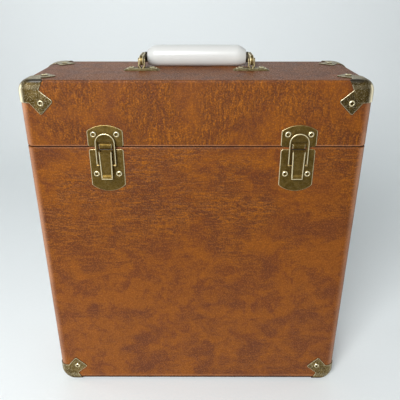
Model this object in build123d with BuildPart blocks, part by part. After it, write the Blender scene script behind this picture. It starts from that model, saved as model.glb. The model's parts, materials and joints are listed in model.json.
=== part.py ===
from build123d import *

import math
import os

# A carrying case for twelve-inch records: a covered board box with a hinged lid, two draw latches
# on the front, pressed guards on all eight corners and a swinging handle on top.
#
# All sizes are in millimetres. X runs to the right, Y to the back and Z up, the front faces -Y,
# and the origin is on the ground under the middle of the whole object.

# ---------------------------------------------------------------- driving dimensions: the case
case_width = 350.0
case_depth = 122.0
case_height = 382.0
lid_height = 67.0
rim_gap = 0.5
upright_edge_radius = 9.5
side_edge_radius = 12.0
face_edge_radius = 2.0
board_thickness = 9.0
covering_thickness = 0.8
lining_thickness = 1.0

# ---------------------------------------------------------------- tubular rivets
rivet_head_diameter = 7.0
rivet_crown_diameter = 4.6
rivet_head_height = 1.3
rivet_head_edge = 0.35
rivet_hole_diameter = 2.4
rivet_hole_depth = 3.0
rivet_shank_diameter = 3.6
rivet_shank_length = 7.0
rivet_clearance = 0.05

# ---------------------------------------------------------------- corner guards
guard_thickness = 1.0
guard_band = 22.0
guard_band_wrap = 1.0
guard_front_band = 26.5
guard_front_slant = 5.0
guard_front_neck = 9.5
guard_flap_reach = 34.5
guard_flap_side = 20.5
guard_tip_radius = 2.0
guard_edge_grip = 3.0
guard_rivet_inset = 22.0

# ---------------------------------------------------------------- butt hinges on the back
hinge_spacing = 190.0
hinge_leaf_width = 34.0
hinge_leaf_height = 21.0
hinge_leaf_thickness = 1.2
hinge_leaf_corner = 3.0
hinge_knuckle_diameter = 5.0
hinge_axis_out = 2.8
hinge_pin_diameter = 2.6
hinge_pin_clearance = 0.05
hinge_knuckle_gap = 0.3
hinge_rivet_spacing = 20.0
hinge_rivet_drop = 13.5

# ---------------------------------------------------------------- draw latches on the front
latch_spacing = 197.0
latch_offset = 6.0
latch_plate_thickness = 1.2
latch_plate_bevel = 0.5
latch_corner_radius = 2.5
latch_rivet_spacing = 23.4

strike_width = 36.4
strike_edge = 0.4
strike_shoulder = 17.0
strike_crown = 23.0
strike_rivet_rise = 13.5

hook_width = 12.6
hook_thickness = 1.1
hook_tongue_thickness = 0.7
hook_tongue_rise = 3.0
hook_throat = 1.4
hook_drop = 1.4
hook_rise = 4.4
hook_bend_radius = 0.6
hook_nose_radius = 0.4

base_width = 35.5
base_gap = 1.0
base_shoulder = 41.9
base_crown = 48.8
base_rivet_drop = 29.0

lever_top_width = 13.2
lever_bottom_width = 11.7
lever_length = 31.0
lever_wall = 1.1
lever_web = 0.6
lever_rim_height = 0.5
lever_rim_width = 1.0
lever_lip_out = 1.2
lever_lip_height = 3.2
lever_gap = 0.6
lever_end_radius = 3.5
lever_plate_clearance = 0.3
lever_back_clearance = 1.2

ear_thickness = 1.0
ear_head_radius = 1.5
ear_root = 6.0
ear_side_clearance = 0.4
ear_web_clearance = 0.2

lever_pin_diameter = 1.8
lever_pin_length = 13.6
bail_pin_diameter = 1.6
bail_pin_length = 21.2
latch_pin_clearance = 0.05

bail_width = 20.2
bail_thickness = 1.5
bail_leg_width = 2.4
bail_crown_rise = 15.2
bail_window_rise = 4.9
bail_pivot_drop = 13.2
bail_pivot_inset = 0.4
bail_eye_radius = 1.6
bail_hook_clearance = 0.3
bail_dish_depth = 0.5
bail_dish_rim = 1.5

# ---------------------------------------------------------------- handle on the lid
handle_spacing = 118.0
handle_reach = 25.0
handle_pivot_height = 10.0
handle_rest_gap = 0.3

plate_length = 39.5
plate_depth = 14.0
plate_corner = 3.0
plate_height = 2.0
plate_top_length = 31.0
plate_top_depth = 10.6
plate_top_corner = 1.6
plate_rivet_spacing = 22.0

bar_diameter = 3.4
bar_leg_thickness = 1.2
bar_leg_foot = 6.5
bar_leg_crown = 5.2
bar_side_clearance = 0.35
bar_running_clearance = 0.06

link_thickness = 4.2
link_height = 10.4
link_corner_radius = 4.0
link_shoulder_height = 11.2
link_shoulder_depth = 9.6
link_tang_depth = 6.0
link_tang_height = 8.0
link_tang_length = 12.0

grip_gap = 2.0
grip_height = 23.0
grip_depth = 19.0
grip_end_height = 15.6
grip_end_depth = 12.2
grip_fullness = 3.0
grip_end_roundness = 0.36
core_depth = 3.0
core_height = 7.0
grip_clearance = 0.1

# ---------------------------------------------------------------- places worked out from these
base_z = guard_thickness + rivet_head_height
top_z = base_z + case_height
seam_z = top_z - lid_height
body_rim_z = seam_z - rim_gap / 2
lid_rim_z = seam_z + rim_gap / 2
middle_z = (base_z + top_z) / 2

# How far the pieces on the front and back stand out, for the middle of the whole object.
hook_front = latch_plate_thickness + hook_throat + hook_thickness
bail_back = hook_front + bail_hook_clearance
lever_pivot_out = latch_plate_thickness + lever_plate_clearance + lever_end_radius
lever_top_rise = -(hook_drop + lever_gap)
lever_pivot_rise = lever_top_rise - lever_end_radius
lever_foot_rise = lever_top_rise - lever_length
lever_lip_rise = lever_foot_rise + lever_lip_height
lever_web_back = lever_pivot_out + ear_head_radius + ear_web_clearance
lever_face_out = lever_web_back + lever_web
lever_front_out = lever_face_out + lever_rim_height
latch_reach = lever_front_out + lever_lip_out
hinge_reach = hinge_axis_out + hinge_knuckle_diameter / 2

lever_pivot = (lever_pivot_out, lever_pivot_rise)
bail_pivot = (lever_pivot_out - bail_pivot_inset, lever_pivot_rise - bail_pivot_drop)

middle_y = (latch_reach - hinge_reach) / 2
front_y = middle_y - case_depth / 2
back_y = middle_y + case_depth / 2
hinge_axis_y = back_y + hinge_axis_out

half_width = case_width / 2
board_inside = half_width - covering_thickness - board_thickness
bay_front_y = front_y + covering_thickness + board_thickness
bay_back_y = back_y - covering_thickness - board_thickness
bay_floor_z = base_z + covering_thickness + board_thickness
bay_ceiling_z = top_z - covering_thickness - board_thickness

latch_places = {
    "left": latch_offset - latch_spacing / 2,
    "right": latch_offset + latch_spacing / 2,
}
hinge_places = {"left": -hinge_spacing / 2, "right": hinge_spacing / 2}
handle_places = {"left": -handle_spacing / 2, "right": handle_spacing / 2}

pivot_z = top_z + handle_pivot_height
grip_lift = grip_height / 2 + handle_rest_gap - handle_pivot_height
grip_half_length = handle_spacing / 2 - link_thickness / 2 - grip_gap
core_half_length = grip_half_length - link_tang_length

# The stations along half of the grip at which its section is drawn, as shares of that half.
grip_stations = (0.0, 0.5, 0.8, 0.93, 1.0)
cap_steps = 2


# ================================================================ writing the pieces
def save(piece, name):
    """Label one finished piece and write it under its name."""
    piece.label = name
    export_step(piece, f"parts/{name}.step")


def slab(low, high):
    """A plain block between two corners, for cutting."""
    with BuildPart() as block:
        with Locations(tuple((a + b) / 2 for a, b in zip(low, high))):
            Box(*(b - a for a, b in zip(low, high)))
    return block.part


# ================================================================ planes to draw on
def front_plane(x, rise=0.0, out=0.0):
    """A plane on the front, a height above the seam: local x right, y up and z forwards."""
    return Plane(origin=(x, front_y - out, seam_z + rise), x_dir=(1, 0, 0), z_dir=(0, -1, 0))


def back_plane(x, rise=0.0, out=0.0):
    """A plane on the back, a height above the seam: local x left, y up and z backwards."""
    return Plane(origin=(x, back_y + out, seam_z + rise), x_dir=(-1, 0, 0), z_dir=(0, 1, 0))


def latch_section(x):
    """A plane through a latch: local x out of the front and y up, both from the seam."""
    return Plane(origin=(x, front_y, seam_z), x_dir=(0, -1, 0), z_dir=(-1, 0, 0))


def handle_section(x):
    """A plane square to the handle's pivot line: local x backwards and y up, from the pivot."""
    return Plane(origin=(x, middle_y, pivot_z), x_dir=(0, 1, 0), z_dir=(1, 0, 0))


def handle_plane(x=0.0):
    """A level plane through the pivot line and the grip's ends: local x right, y to the grip."""
    return Plane(origin=(x, middle_y, pivot_z), x_dir=(1, 0, 0), z_dir=(0, 0, 1))


def grip_plane(x):
    """A plane across the grip: local x backwards and y up, from the middle of its end."""
    centre = (x, middle_y + handle_reach, pivot_z)
    return Plane(origin=centre, x_dir=(0, 1, 0), z_dir=(1, 0, 0))


# ================================================================ the rounded form of the case
def cap_angles(side, face):
    """Two runs of angles up the rounded side edge, below and above the start of the face edge."""
    shoulder = math.degrees(math.asin(1 - face / side))
    lower = [shoulder * step / cap_steps for step in range(cap_steps + 1)]
    upper = [shoulder + (90 - shoulder) * step / cap_steps for step in range(cap_steps + 1)]
    return lower, upper


def cap_section(side, face, angle):
    """How far one level section lies past the spring line, and how far it is drawn in."""
    rise = side * math.sin(math.radians(angle))
    into_face = max(0.0, rise - (side - face))
    side_draw = side * (1 - math.cos(math.radians(angle)))
    face_draw = face - math.sqrt(max(0.0, face**2 - into_face**2))
    return rise, side_draw, face_draw


def case_form(grow, rim_z, end_z):
    """The outside of one half of the case, from its rim to its rounded end, grown evenly."""
    way = 1 if end_z > rim_z else -1
    spring_z = end_z - way * side_edge_radius
    side = side_edge_radius + grow
    face = face_edge_radius + grow
    corner = upright_edge_radius + grow
    width = case_width + 2 * grow
    depth = case_depth + 2 * grow
    with BuildPart() as form:
        for run in cap_angles(side, face):
            for angle in run:
                rise, side_draw, face_draw = cap_section(side, face, angle)
                with BuildSketch(Plane.XY.offset(spring_z + way * rise)):
                    with Locations((0, middle_y)):
                        RectangleRounded(
                            width - 2 * side_draw, depth - 2 * face_draw, corner - face_draw
                        )
            loft()
        with BuildSketch(Plane.XY.offset(rim_z)):
            with Locations((0, middle_y)):
                RectangleRounded(width, depth, corner)
        extrude(amount=spring_z - rim_z)
    return form.part


# ================================================================ rivets and where they sit
def rivet_form():
    """A tubular rivet: a low ring head, an open hole and a shank, head underside at z = 0."""
    with BuildPart() as rivet:
        with BuildSketch(Plane.XZ):
            with BuildLine():
                Polyline(
                    (0, -rivet_shank_length),
                    (rivet_shank_diameter / 2, -rivet_shank_length),
                    (rivet_shank_diameter / 2, 0),
                    (rivet_head_diameter / 2, 0),
                    (rivet_head_diameter / 2, rivet_head_edge),
                    (rivet_crown_diameter / 2, rivet_head_height),
                    (rivet_hole_diameter / 2, rivet_head_height),
                    (rivet_hole_diameter / 2, rivet_head_height - rivet_hole_depth),
                    (0, rivet_head_height - rivet_hole_depth),
                    close=True,
                )
            make_face()
        revolve(axis=Axis.Z)
    return rivet.part


def rivet_bores(places):
    """The blind holes that a group of rivets needs in whatever they go through."""
    with BuildPart() as bores:
        with Locations(*places):
            Cylinder(
                rivet_shank_diameter / 2 + rivet_clearance,
                2 * (rivet_shank_length + rivet_clearance),
            )
    return bores.part


def save_rivets(places, name):
    """One node holding a group of rivets, each a solid of its own."""
    rivet = rivet_form()
    with BuildPart() as group:
        with Locations(*places):
            add(rivet)
    save(group.part, name)


def guard_rivet_places(end_z):
    """The seats of the rivets on the four guards at one end of the case, three to a guard."""
    way = 1 if end_z > middle_z else -1
    z = end_z - way * guard_rivet_inset
    flap_z = end_z + way * guard_thickness
    places = []
    for side in (-1, 1):
        x = side * (half_width - guard_rivet_inset)
        side_x = side * (half_width + guard_thickness)
        places.append(front_plane(x, z - seam_z, guard_thickness).location)
        places.append(back_plane(x, z - seam_z, guard_thickness).location)
        for y in (front_y + guard_rivet_inset, back_y - guard_rivet_inset):
            places.append(Plane(origin=(side_x, y, z), z_dir=(side, 0, 0)).location)
            places.append(Plane(origin=(x, y, flap_z), z_dir=(0, 0, way)).location)
    return places


def pair_places(plane_at, centres, spacing, rise, out):
    """The seats of two rivets about each centre, on the front or the back."""
    return [
        plane_at(x + step, rise, out).location
        for x in centres
        for step in (-spacing / 2, spacing / 2)
    ]


def latch_rivet_places(rise):
    """The seats of the rivets on one kind of latch plate, a height above the seam."""
    centres = latch_places.values()
    return pair_places(front_plane, centres, latch_rivet_spacing, rise, latch_plate_thickness)


def hinge_rivet_places(rise):
    """The seats of the rivets on one kind of hinge leaf, a height above the seam."""
    centres = hinge_places.values()
    return pair_places(back_plane, centres, hinge_rivet_spacing, rise, hinge_leaf_thickness)


def handle_rivet_places():
    """The seats of the two rivets on each handle plate."""
    return [
        Location((x + step, middle_y, top_z + plate_height))
        for x in handle_places.values()
        for step in (-plate_rivet_spacing / 2, plate_rivet_spacing / 2)
    ]


# ================================================================ boards, covering and lining
def save_boards(half, core, bores, rim_z, end_z, bay_end_z):
    """The five boards of one half: front and back run through, the others fit between them."""
    low_z, high_z = sorted((rim_z, end_z))
    end_low, end_high = sorted((bay_end_z, end_z))
    end_name = "bottom" if half == "body" else "top"
    corners = {
        "front": ((-half_width, front_y, low_z), (half_width, bay_front_y, high_z)),
        "back": ((-half_width, bay_back_y, low_z), (half_width, back_y, high_z)),
        "left": ((-half_width, bay_front_y, low_z), (-board_inside, bay_back_y, high_z)),
        "right": ((board_inside, bay_front_y, low_z), (half_width, bay_back_y, high_z)),
        end_name: ((-board_inside, bay_front_y, end_low), (board_inside, bay_back_y, end_high)),
    }
    for face, (low, high) in corners.items():
        block = slab(low, high)
        with BuildPart() as board:
            add(core)
            add(block, mode=Mode.INTERSECT)
            add(bores, mode=Mode.SUBTRACT)
        save(board.part, f"{half}_{face}_board")


def save_covering(half, outside, core, bores, rim_z, end_z):
    """The covering: a skin over the boards that is turned over the rim to the bay's edge."""
    way = 1 if end_z > rim_z else -1
    low_z, high_z = sorted((rim_z, end_z - way * covering_thickness))
    mouth = slab((-board_inside, bay_front_y, low_z), (board_inside, bay_back_y, high_z))
    with BuildPart() as covering:
        add(outside)
        add(core, mode=Mode.SUBTRACT)
        add(mouth, mode=Mode.SUBTRACT)
        add(bores, mode=Mode.SUBTRACT)
    save(covering.part, f"{half}_covering")


def save_lining(half, rim_z, bay_end_z):
    """The lining: an open tray that fits the bay, with its wall up to the rim."""
    way = 1 if bay_end_z > rim_z else -1
    low_z, high_z = sorted((rim_z, bay_end_z))
    inner_low_z, inner_high_z = sorted((rim_z, bay_end_z - way * lining_thickness))
    wall_x = board_inside - lining_thickness
    wall_front_y = bay_front_y + lining_thickness
    wall_back_y = bay_back_y - lining_thickness
    block = slab((-board_inside, bay_front_y, low_z), (board_inside, bay_back_y, high_z))
    bay = slab((-wall_x, wall_front_y, inner_low_z), (wall_x, wall_back_y, inner_high_z))
    with BuildPart() as lining:
        add(block)
        add(bay, mode=Mode.SUBTRACT)
    save(lining.part, f"{half}_lining")


def save_half(half, rim_z, end_z, bay_end_z, bores):
    """All the boards and skins of the body or the lid."""
    way = 1 if end_z > rim_z else -1
    board_rim_z = rim_z + way * covering_thickness
    board_end_z = end_z - way * covering_thickness
    outside = case_form(0, rim_z, end_z)
    core = case_form(-covering_thickness, board_rim_z, end_z)
    save_boards(half, core, bores, board_rim_z, board_end_z, bay_end_z)
    save_covering(half, outside, core, bores, rim_z, end_z)
    save_lining(half, rim_z, bay_end_z)


# ================================================================ corner guards
def flap_outline(first_band, first_notch, second_notch, second_band):
    """A flap's outline, with the case's corner at the origin: a band both ways and two tips."""
    with BuildSketch() as flap:
        with BuildLine():
            Polyline(
                (-guard_thickness, -guard_thickness),
                (first_band, -guard_thickness),
                first_notch,
                (guard_flap_reach, guard_flap_side),
                (guard_flap_side, guard_flap_reach),
                second_notch,
                (-guard_thickness, second_band),
                close=True,
            )
        make_face()
        tips = flap.vertices().sort_by(lambda point: point.X + point.Y)[-2:]
        fillet(tips, guard_tip_radius)
    return flap.sketch


def guard_blank():
    """The room that the lower front left guard takes up: three flaps and two edge bands."""
    x, y, z = -half_width, front_y, base_z
    skin, grip = guard_thickness, guard_edge_grip
    upright = upright_edge_radius + guard_band_wrap
    over = side_edge_radius + guard_band_wrap
    front_notch = (guard_front_band - guard_front_slant, guard_front_neck)
    front = flap_outline(guard_front_band, front_notch, (upright, guard_band), guard_band)
    side = flap_outline(guard_band, (guard_band, over), (upright, guard_band), guard_band)
    end = flap_outline(guard_front_band, front_notch, (over, guard_band), guard_band)
    upright_band = slab(
        (x - skin, y - skin, z - skin), (x + upright, y + upright, z + guard_band)
    )
    side_band = slab((x - skin, y - skin, z - skin), (x + over, y + guard_band, z + over))
    with BuildPart() as blank:
        add(upright_band)
        add(side_band)
        with BuildSketch(Plane(origin=(x, y + grip, z), x_dir=(1, 0, 0), z_dir=(0, -1, 0))):
            add(front)
        extrude(amount=grip + skin)
        with BuildSketch(Plane(origin=(x - skin, y, z), x_dir=(0, 1, 0), z_dir=(1, 0, 0))):
            add(side)
        extrude(amount=grip + skin)
        with BuildSketch(Plane(origin=(x, y, z - skin), x_dir=(1, 0, 0), z_dir=(0, 0, 1))):
            add(end)
        extrude(amount=grip + skin)
    return blank.part


def save_guards(bores):
    """All eight guards: one is pressed over its corner and the others are its mirror images."""
    outside = case_form(guard_thickness, body_rim_z, base_z)
    inside = case_form(0, body_rim_z, base_z)
    blank = guard_blank()
    with BuildPart() as first:
        add(outside)
        add(inside, mode=Mode.SUBTRACT)
        add(blank, mode=Mode.INTERSECT)
        add(bores, mode=Mode.SUBTRACT)
    level = Plane.XY.offset(middle_z)
    across = Plane.XZ.offset(-middle_y)
    for height, upward in {"bottom": None, "top": level}.items():
        for depth, backward in {"front": None, "back": across}.items():
            for side, sideways in {"left": None, "right": Plane.YZ}.items():
                piece = first.part
                for plane in (upward, backward, sideways):
                    if plane is not None:
                        piece = mirror(piece, about=plane)
                save(piece, f"guard_{height}_{depth}_{side}")


# ================================================================ hinges
def hinge_leaf(x, way, bores):
    """One leaf: the body's (way -1) carries the outer two knuckles, the lid's the middle one."""
    knuckle_radius = hinge_knuckle_diameter / 2
    span = hinge_leaf_width / 3
    own, other = ((0.0,), (-span, span)) if way > 0 else ((-span, span), (0.0,))
    notch = knuckle_radius + hinge_knuckle_gap
    axis = Plane(origin=(x, hinge_axis_y, seam_z), x_dir=(0, 1, 0), z_dir=(1, 0, 0))
    with BuildPart() as leaf:
        with BuildSketch(back_plane(x)):
            with Locations((0, way * hinge_leaf_height / 2)):
                Rectangle(hinge_leaf_width, hinge_leaf_height)
            with Locations(*[(place, 0) for place in other]):
                Rectangle(span + hinge_knuckle_gap, 2 * notch, mode=Mode.SUBTRACT)
        extrude(amount=hinge_leaf_thickness)
        far_corners = leaf.edges().filter_by(Axis.Y).group_by(Axis.Z)[-1 if way > 0 else 0]
        fillet(far_corners, hinge_leaf_corner)
        for place in own:
            with BuildSketch(axis.offset(place)):
                Circle(knuckle_radius)
            extrude(amount=(span - hinge_knuckle_gap) / 2, both=True)
        with BuildSketch(axis):
            Circle(hinge_pin_diameter / 2 + hinge_pin_clearance)
        extrude(amount=hinge_leaf_width, both=True, mode=Mode.SUBTRACT)
        add(bores, mode=Mode.SUBTRACT)
    return leaf.part


def hinge_pin(x):
    """The hinge pin, running through all three knuckles."""
    axis = Plane(origin=(x, hinge_axis_y, seam_z), x_dir=(0, 1, 0), z_dir=(1, 0, 0))
    with BuildPart() as pin:
        with BuildSketch(axis):
            Circle(hinge_pin_diameter / 2)
        extrude(amount=hinge_leaf_width / 2, both=True)
    return pin.part


# ================================================================ draw latches
def latch_plate(x, width, near, shoulder, crown):
    """A latch plate: straight sides, an arched far end and a bevelled front edge."""
    half = width / 2
    with BuildPart() as plate:
        with BuildSketch(front_plane(x)) as outline:
            with BuildLine():
                Polyline((-half, shoulder), (-half, near), (half, near), (half, shoulder))
                ThreePointArc((-half, shoulder), (0, crown), (half, shoulder))
            make_face()
            fillet(outline.vertices(), latch_corner_radius)
        extrude(amount=latch_plate_thickness)
        chamfer(plate.faces().sort_by(Axis.Y)[0].edges(), latch_plate_bevel)
    return plate.part


def latch_strike(x, bores):
    """The strike plate on the lid with its open hook, bent down, out and up again."""
    plate = latch_plate(x, strike_width, strike_edge, strike_shoulder, strike_crown)
    tongue_back = latch_plate_thickness - hook_tongue_thickness
    with BuildPart() as strike:
        add(plate)
        with BuildSketch(latch_section(x)) as hook:
            with BuildLine():
                Polyline(
                    (tongue_back, hook_tongue_rise),
                    (tongue_back, -hook_drop),
                    (hook_front, -hook_drop),
                    (hook_front, hook_rise),
                    (hook_front - hook_thickness, hook_rise),
                    (hook_front - hook_thickness, hook_thickness - hook_drop),
                    (latch_plate_thickness, hook_thickness - hook_drop),
                    (latch_plate_thickness, hook_tongue_rise),
                    close=True,
                )
            make_face()
            fillet(hook.vertices().group_by(Axis.Y)[0], hook_bend_radius)
            fillet(hook.vertices().group_by(Axis.Y)[-1], hook_nose_radius)
        extrude(amount=hook_width / 2, both=True)
        add(bores, mode=Mode.SUBTRACT)
    return strike.part


def latch_ear():
    """One bearing ear from the side: a round head over a foot that stands on the plate."""
    foot_out = latch_plate_thickness / 2
    with BuildSketch() as ear:
        with Locations(lever_pivot):
            Circle(ear_head_radius)
        with BuildLine():
            Polyline(
                (lever_pivot_out, lever_pivot_rise + ear_head_radius),
                (foot_out, lever_pivot_rise),
                (foot_out, lever_pivot_rise - ear_root),
                (lever_pivot_out + ear_head_radius, lever_pivot_rise),
                close=True,
            )
        make_face()
        with Locations(lever_pivot):
            Circle(lever_pin_diameter / 2, mode=Mode.SUBTRACT)
    return ear.sketch


def latch_base(x, bores):
    """The base plate on the body with the two ears that carry the lever."""
    plate = latch_plate(x, base_width, -hook_drop - base_gap, -base_shoulder, -base_crown)
    profile = latch_ear()
    ear_outside = lever_half_width(lever_pivot_rise) - lever_wall - ear_side_clearance
    with BuildPart() as base:
        add(plate)
        for place in (-ear_outside, ear_outside - ear_thickness):
            with BuildSketch(latch_section(x + place + ear_thickness)):
                add(profile)
            extrude(amount=ear_thickness)
        add(bores, mode=Mode.SUBTRACT)
    return base.part


def lever_half_width(rise):
    """Half the lever's width at a height: it tapers from its pivot end to its lip."""
    share = (lever_top_rise - rise) / lever_length
    return (lever_top_width + share * (lever_bottom_width - lever_top_width)) / 2


def lever_outline(top, bottom, inset):
    """The lever from the front between two heights, less an even inset on both sides."""
    top_half = lever_half_width(top) - inset
    bottom_half = lever_half_width(bottom) - inset
    with BuildSketch() as outline:
        with BuildLine():
            Polyline(
                (-top_half, top),
                (-bottom_half, bottom),
                (bottom_half, bottom),
                (top_half, top),
                close=True,
            )
        make_face()
    return outline.sketch


def lever_profile():
    """The lever from the side: a round pivot end, a straight front and a flared lip."""
    back = latch_plate_thickness + lever_back_clearance
    back_reach = lever_pivot_out - back
    front_reach = lever_front_out - lever_pivot_out
    back_rise = lever_pivot_rise + math.sqrt(lever_end_radius**2 - back_reach**2)
    front_rise = lever_pivot_rise + math.sqrt(lever_end_radius**2 - front_reach**2)
    with BuildSketch() as profile:
        with BuildLine():
            ThreePointArc(
                (back, back_rise), (lever_pivot_out, lever_top_rise), (lever_front_out, front_rise)
            )
            Polyline(
                (lever_front_out, front_rise),
                (lever_front_out, lever_lip_rise),
                (latch_reach, lever_foot_rise),
                (latch_reach - lever_wall, lever_foot_rise),
                (lever_web_back, lever_lip_rise - lever_wall),
                (back, lever_lip_rise + lever_wall),
                (back, back_rise),
            )
        make_face()
    return profile.sketch


def latch_lever(x):
    """The lever: a folded channel with raised front rims, turning on the ears."""
    profile = lever_profile()
    outline = lever_outline(lever_top_rise, lever_foot_rise, 0)
    hollow = lever_outline(lever_top_rise, lever_foot_rise, lever_wall)
    recess = lever_outline(lever_pivot_rise, lever_lip_rise, lever_rim_width)
    bores = {lever_pivot: lever_pin_diameter, bail_pivot: bail_pin_diameter}
    with BuildPart() as lever:
        with BuildSketch(latch_section(x)):
            add(profile)
        extrude(amount=lever_top_width, both=True)
        with BuildSketch(front_plane(x)):
            add(outline)
        extrude(amount=2 * latch_reach, mode=Mode.INTERSECT)
        with BuildSketch(front_plane(x)):
            add(hollow)
        extrude(amount=lever_web_back, mode=Mode.SUBTRACT)
        with BuildSketch(front_plane(x, out=lever_face_out)):
            add(recess)
        extrude(amount=latch_reach, mode=Mode.SUBTRACT)
        for place, diameter in bores.items():
            with BuildSketch(latch_section(x)):
                with Locations(place):
                    Circle(diameter / 2 + latch_pin_clearance)
            extrude(amount=lever_top_width, both=True, mode=Mode.SUBTRACT)
    return lever.part


def latch_pin(x, place, diameter, length):
    """A plain pin across a latch, centred on a point of its side view."""
    with BuildPart() as pin:
        with BuildSketch(latch_section(x)):
            with Locations(place):
                Circle(diameter / 2)
        extrude(amount=length / 2, both=True)
    return pin.part


def latch_bail(x):
    """The bail: a stamped loop with a dished crown, its two legs ending in pivot eyes."""
    half = bail_width / 2
    window_half = half - bail_leg_width
    arch_rise = bail_crown_rise - half
    eye_rise = bail_pivot[1]
    dish_floor = bail_window_rise + bail_dish_rim
    with BuildPart() as bail:
        with BuildSketch(front_plane(x, out=bail_back)):
            with Locations((0, arch_rise)):
                Circle(half)
            with Locations((0, (arch_rise + eye_rise) / 2)):
                Rectangle(bail_width, arch_rise - eye_rise)
            with Locations((0, (bail_window_rise + eye_rise - half) / 2)):
                Rectangle(
                    2 * window_half, bail_window_rise - eye_rise + half, mode=Mode.SUBTRACT
                )
        extrude(amount=bail_thickness)
        with BuildSketch(front_plane(x, out=bail_back + bail_thickness - bail_dish_depth)):
            with Locations((0, arch_rise)):
                Circle(half - bail_dish_rim)
            with Locations((0, dish_floor - half)):
                Rectangle(bail_width, bail_width, mode=Mode.SUBTRACT)
        extrude(amount=bail_thickness, mode=Mode.SUBTRACT)
        for side in (-1, 1):
            with BuildSketch(latch_section(x + side * (half - bail_leg_width / 2))):
                with Locations(bail_pivot):
                    Circle(bail_eye_radius)
            extrude(amount=bail_leg_width / 2, both=True)
        with BuildSketch(latch_section(x)):
            with Locations(bail_pivot):
                Circle(bail_pin_diameter / 2)
        extrude(amount=bail_width, both=True, mode=Mode.SUBTRACT)
    return bail.part


# ================================================================ handle
def handle_plate(x, bores):
    """A raised plate with a cast loop: two legs and the round bar that the link swings on."""
    leg_gap = link_thickness + 2 * bar_side_clearance
    foot = top_z + plate_height - pivot_z
    crown = bar_leg_crown / 2
    with BuildPart() as plate:
        with BuildSketch(Plane.XY.offset(top_z)):
            with Locations((x, middle_y)):
                RectangleRounded(plate_length, plate_depth, plate_corner)
        with BuildSketch(Plane.XY.offset(top_z + plate_height)):
            with Locations((x, middle_y)):
                RectangleRounded(plate_top_length, plate_top_depth, plate_top_corner)
        loft(ruled=True)
        for place in (-leg_gap / 2 - bar_leg_thickness, leg_gap / 2):
            with BuildSketch(handle_section(x + place)):
                Circle(crown)
                with BuildLine():
                    Polyline(
                        (-crown, 0),
                        (-bar_leg_foot / 2, foot),
                        (bar_leg_foot / 2, foot),
                        (crown, 0),
                        close=True,
                    )
                make_face()
            extrude(amount=bar_leg_thickness)
        with BuildSketch(handle_section(x)):
            Circle(bar_diameter / 2)
        extrude(amount=leg_gap / 2 + bar_leg_thickness, both=True)
        add(bores, mode=Mode.SUBTRACT)
    return plate.part


def handle_link(x):
    """The end fitting: an eye round the bar, an arm to the grip, an oval shoulder and a tang."""
    inward = -1 if x > 0 else 1
    radius = link_height / 2
    arm_end = handle_reach + radius
    tang_start = link_thickness / 2 - link_tang_depth / 2
    tang_end = abs(x) - core_half_length
    plane = handle_plane(x)
    side_view = handle_section(x)
    with BuildPart() as link:
        with BuildSketch(plane) as arm:
            with Locations((0, (arm_end - radius) / 2)):
                Rectangle(link_thickness, arm_end + radius)
            far = arm.vertices().group_by(Axis.Y)[-1].sort_by(Axis.X)
            fillet(far[-1 if x > 0 else 0], link_corner_radius)
        extrude(amount=radius, both=True)
        with BuildSketch(side_view):
            Circle(radius)
            with Locations((handle_reach, 0)):
                Circle(radius)
            with Locations((handle_reach / 2, 0)):
                Rectangle(handle_reach, link_height)
        extrude(amount=link_thickness, both=True, mode=Mode.INTERSECT)
        with BuildSketch(grip_plane(x + inward * link_thickness / 2)):
            Ellipse(link_shoulder_depth / 2, link_shoulder_height / 2)
        extrude(amount=inward * grip_gap)
        with BuildSketch(plane):
            with Locations((inward * (tang_start + tang_end) / 2, handle_reach)):
                Rectangle(tang_end - tang_start, link_tang_depth)
        extrude(amount=link_tang_height / 2, both=True)
        with BuildSketch(side_view):
            Circle(bar_diameter / 2 + bar_running_clearance)
        extrude(amount=link_thickness, both=True, mode=Mode.SUBTRACT)
    return link.part


def grip_core():
    """The flat steel strip inside the grip, between the two tangs."""
    with BuildPart() as core:
        with BuildSketch(grip_plane(0)):
            Rectangle(core_depth, core_height)
        extrude(amount=core_half_length, both=True)
    return core.part


def handle_grip():
    """The moulded grip: ovals that swell and rise towards the middle, hollow for the fittings."""
    shares = [-share for share in reversed(grip_stations[1:])] + list(grip_stations)
    with BuildPart() as grip:
        for share in shares:
            swell = (1 - abs(share) ** grip_fullness) ** grip_end_roundness
            height = grip_end_height + swell * (grip_height - grip_end_height)
            depth = grip_end_depth + swell * (grip_depth - grip_end_depth)
            with BuildSketch(grip_plane(share * grip_half_length)):
                with Locations((0, swell * grip_lift)):
                    Ellipse(depth / 2, height / 2)
        loft()
        with BuildSketch(grip_plane(0)):
            Rectangle(core_depth + 2 * grip_clearance, core_height + 2 * grip_clearance)
        extrude(amount=core_half_length, both=True, mode=Mode.SUBTRACT)
        for place in (-grip_half_length, core_half_length):
            with BuildSketch(grip_plane(place)):
                Rectangle(
                    link_tang_depth + 2 * grip_clearance, link_tang_height + 2 * grip_clearance
                )
            extrude(amount=link_tang_length, mode=Mode.SUBTRACT)
    return grip.part


# ================================================================ making every piece
os.makedirs("parts", exist_ok=True)

body_guard_rivets = guard_rivet_places(base_z)
lid_guard_rivets = guard_rivet_places(top_z)
latch_base_rivets = latch_rivet_places(-base_rivet_drop)
latch_strike_rivets = latch_rivet_places(strike_rivet_rise)
hinge_body_rivets = hinge_rivet_places(-hinge_rivet_drop)
hinge_lid_rivets = hinge_rivet_places(hinge_rivet_drop)
handle_rivets = handle_rivet_places()

body_bores = rivet_bores(body_guard_rivets + latch_base_rivets + hinge_body_rivets)
lid_bores = rivet_bores(
    lid_guard_rivets + latch_strike_rivets + hinge_lid_rivets + handle_rivets
)

save_half("body", body_rim_z, base_z, bay_floor_z, body_bores)
save_half("lid", lid_rim_z, top_z, bay_ceiling_z, lid_bores)
save_guards(body_bores)

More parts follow.
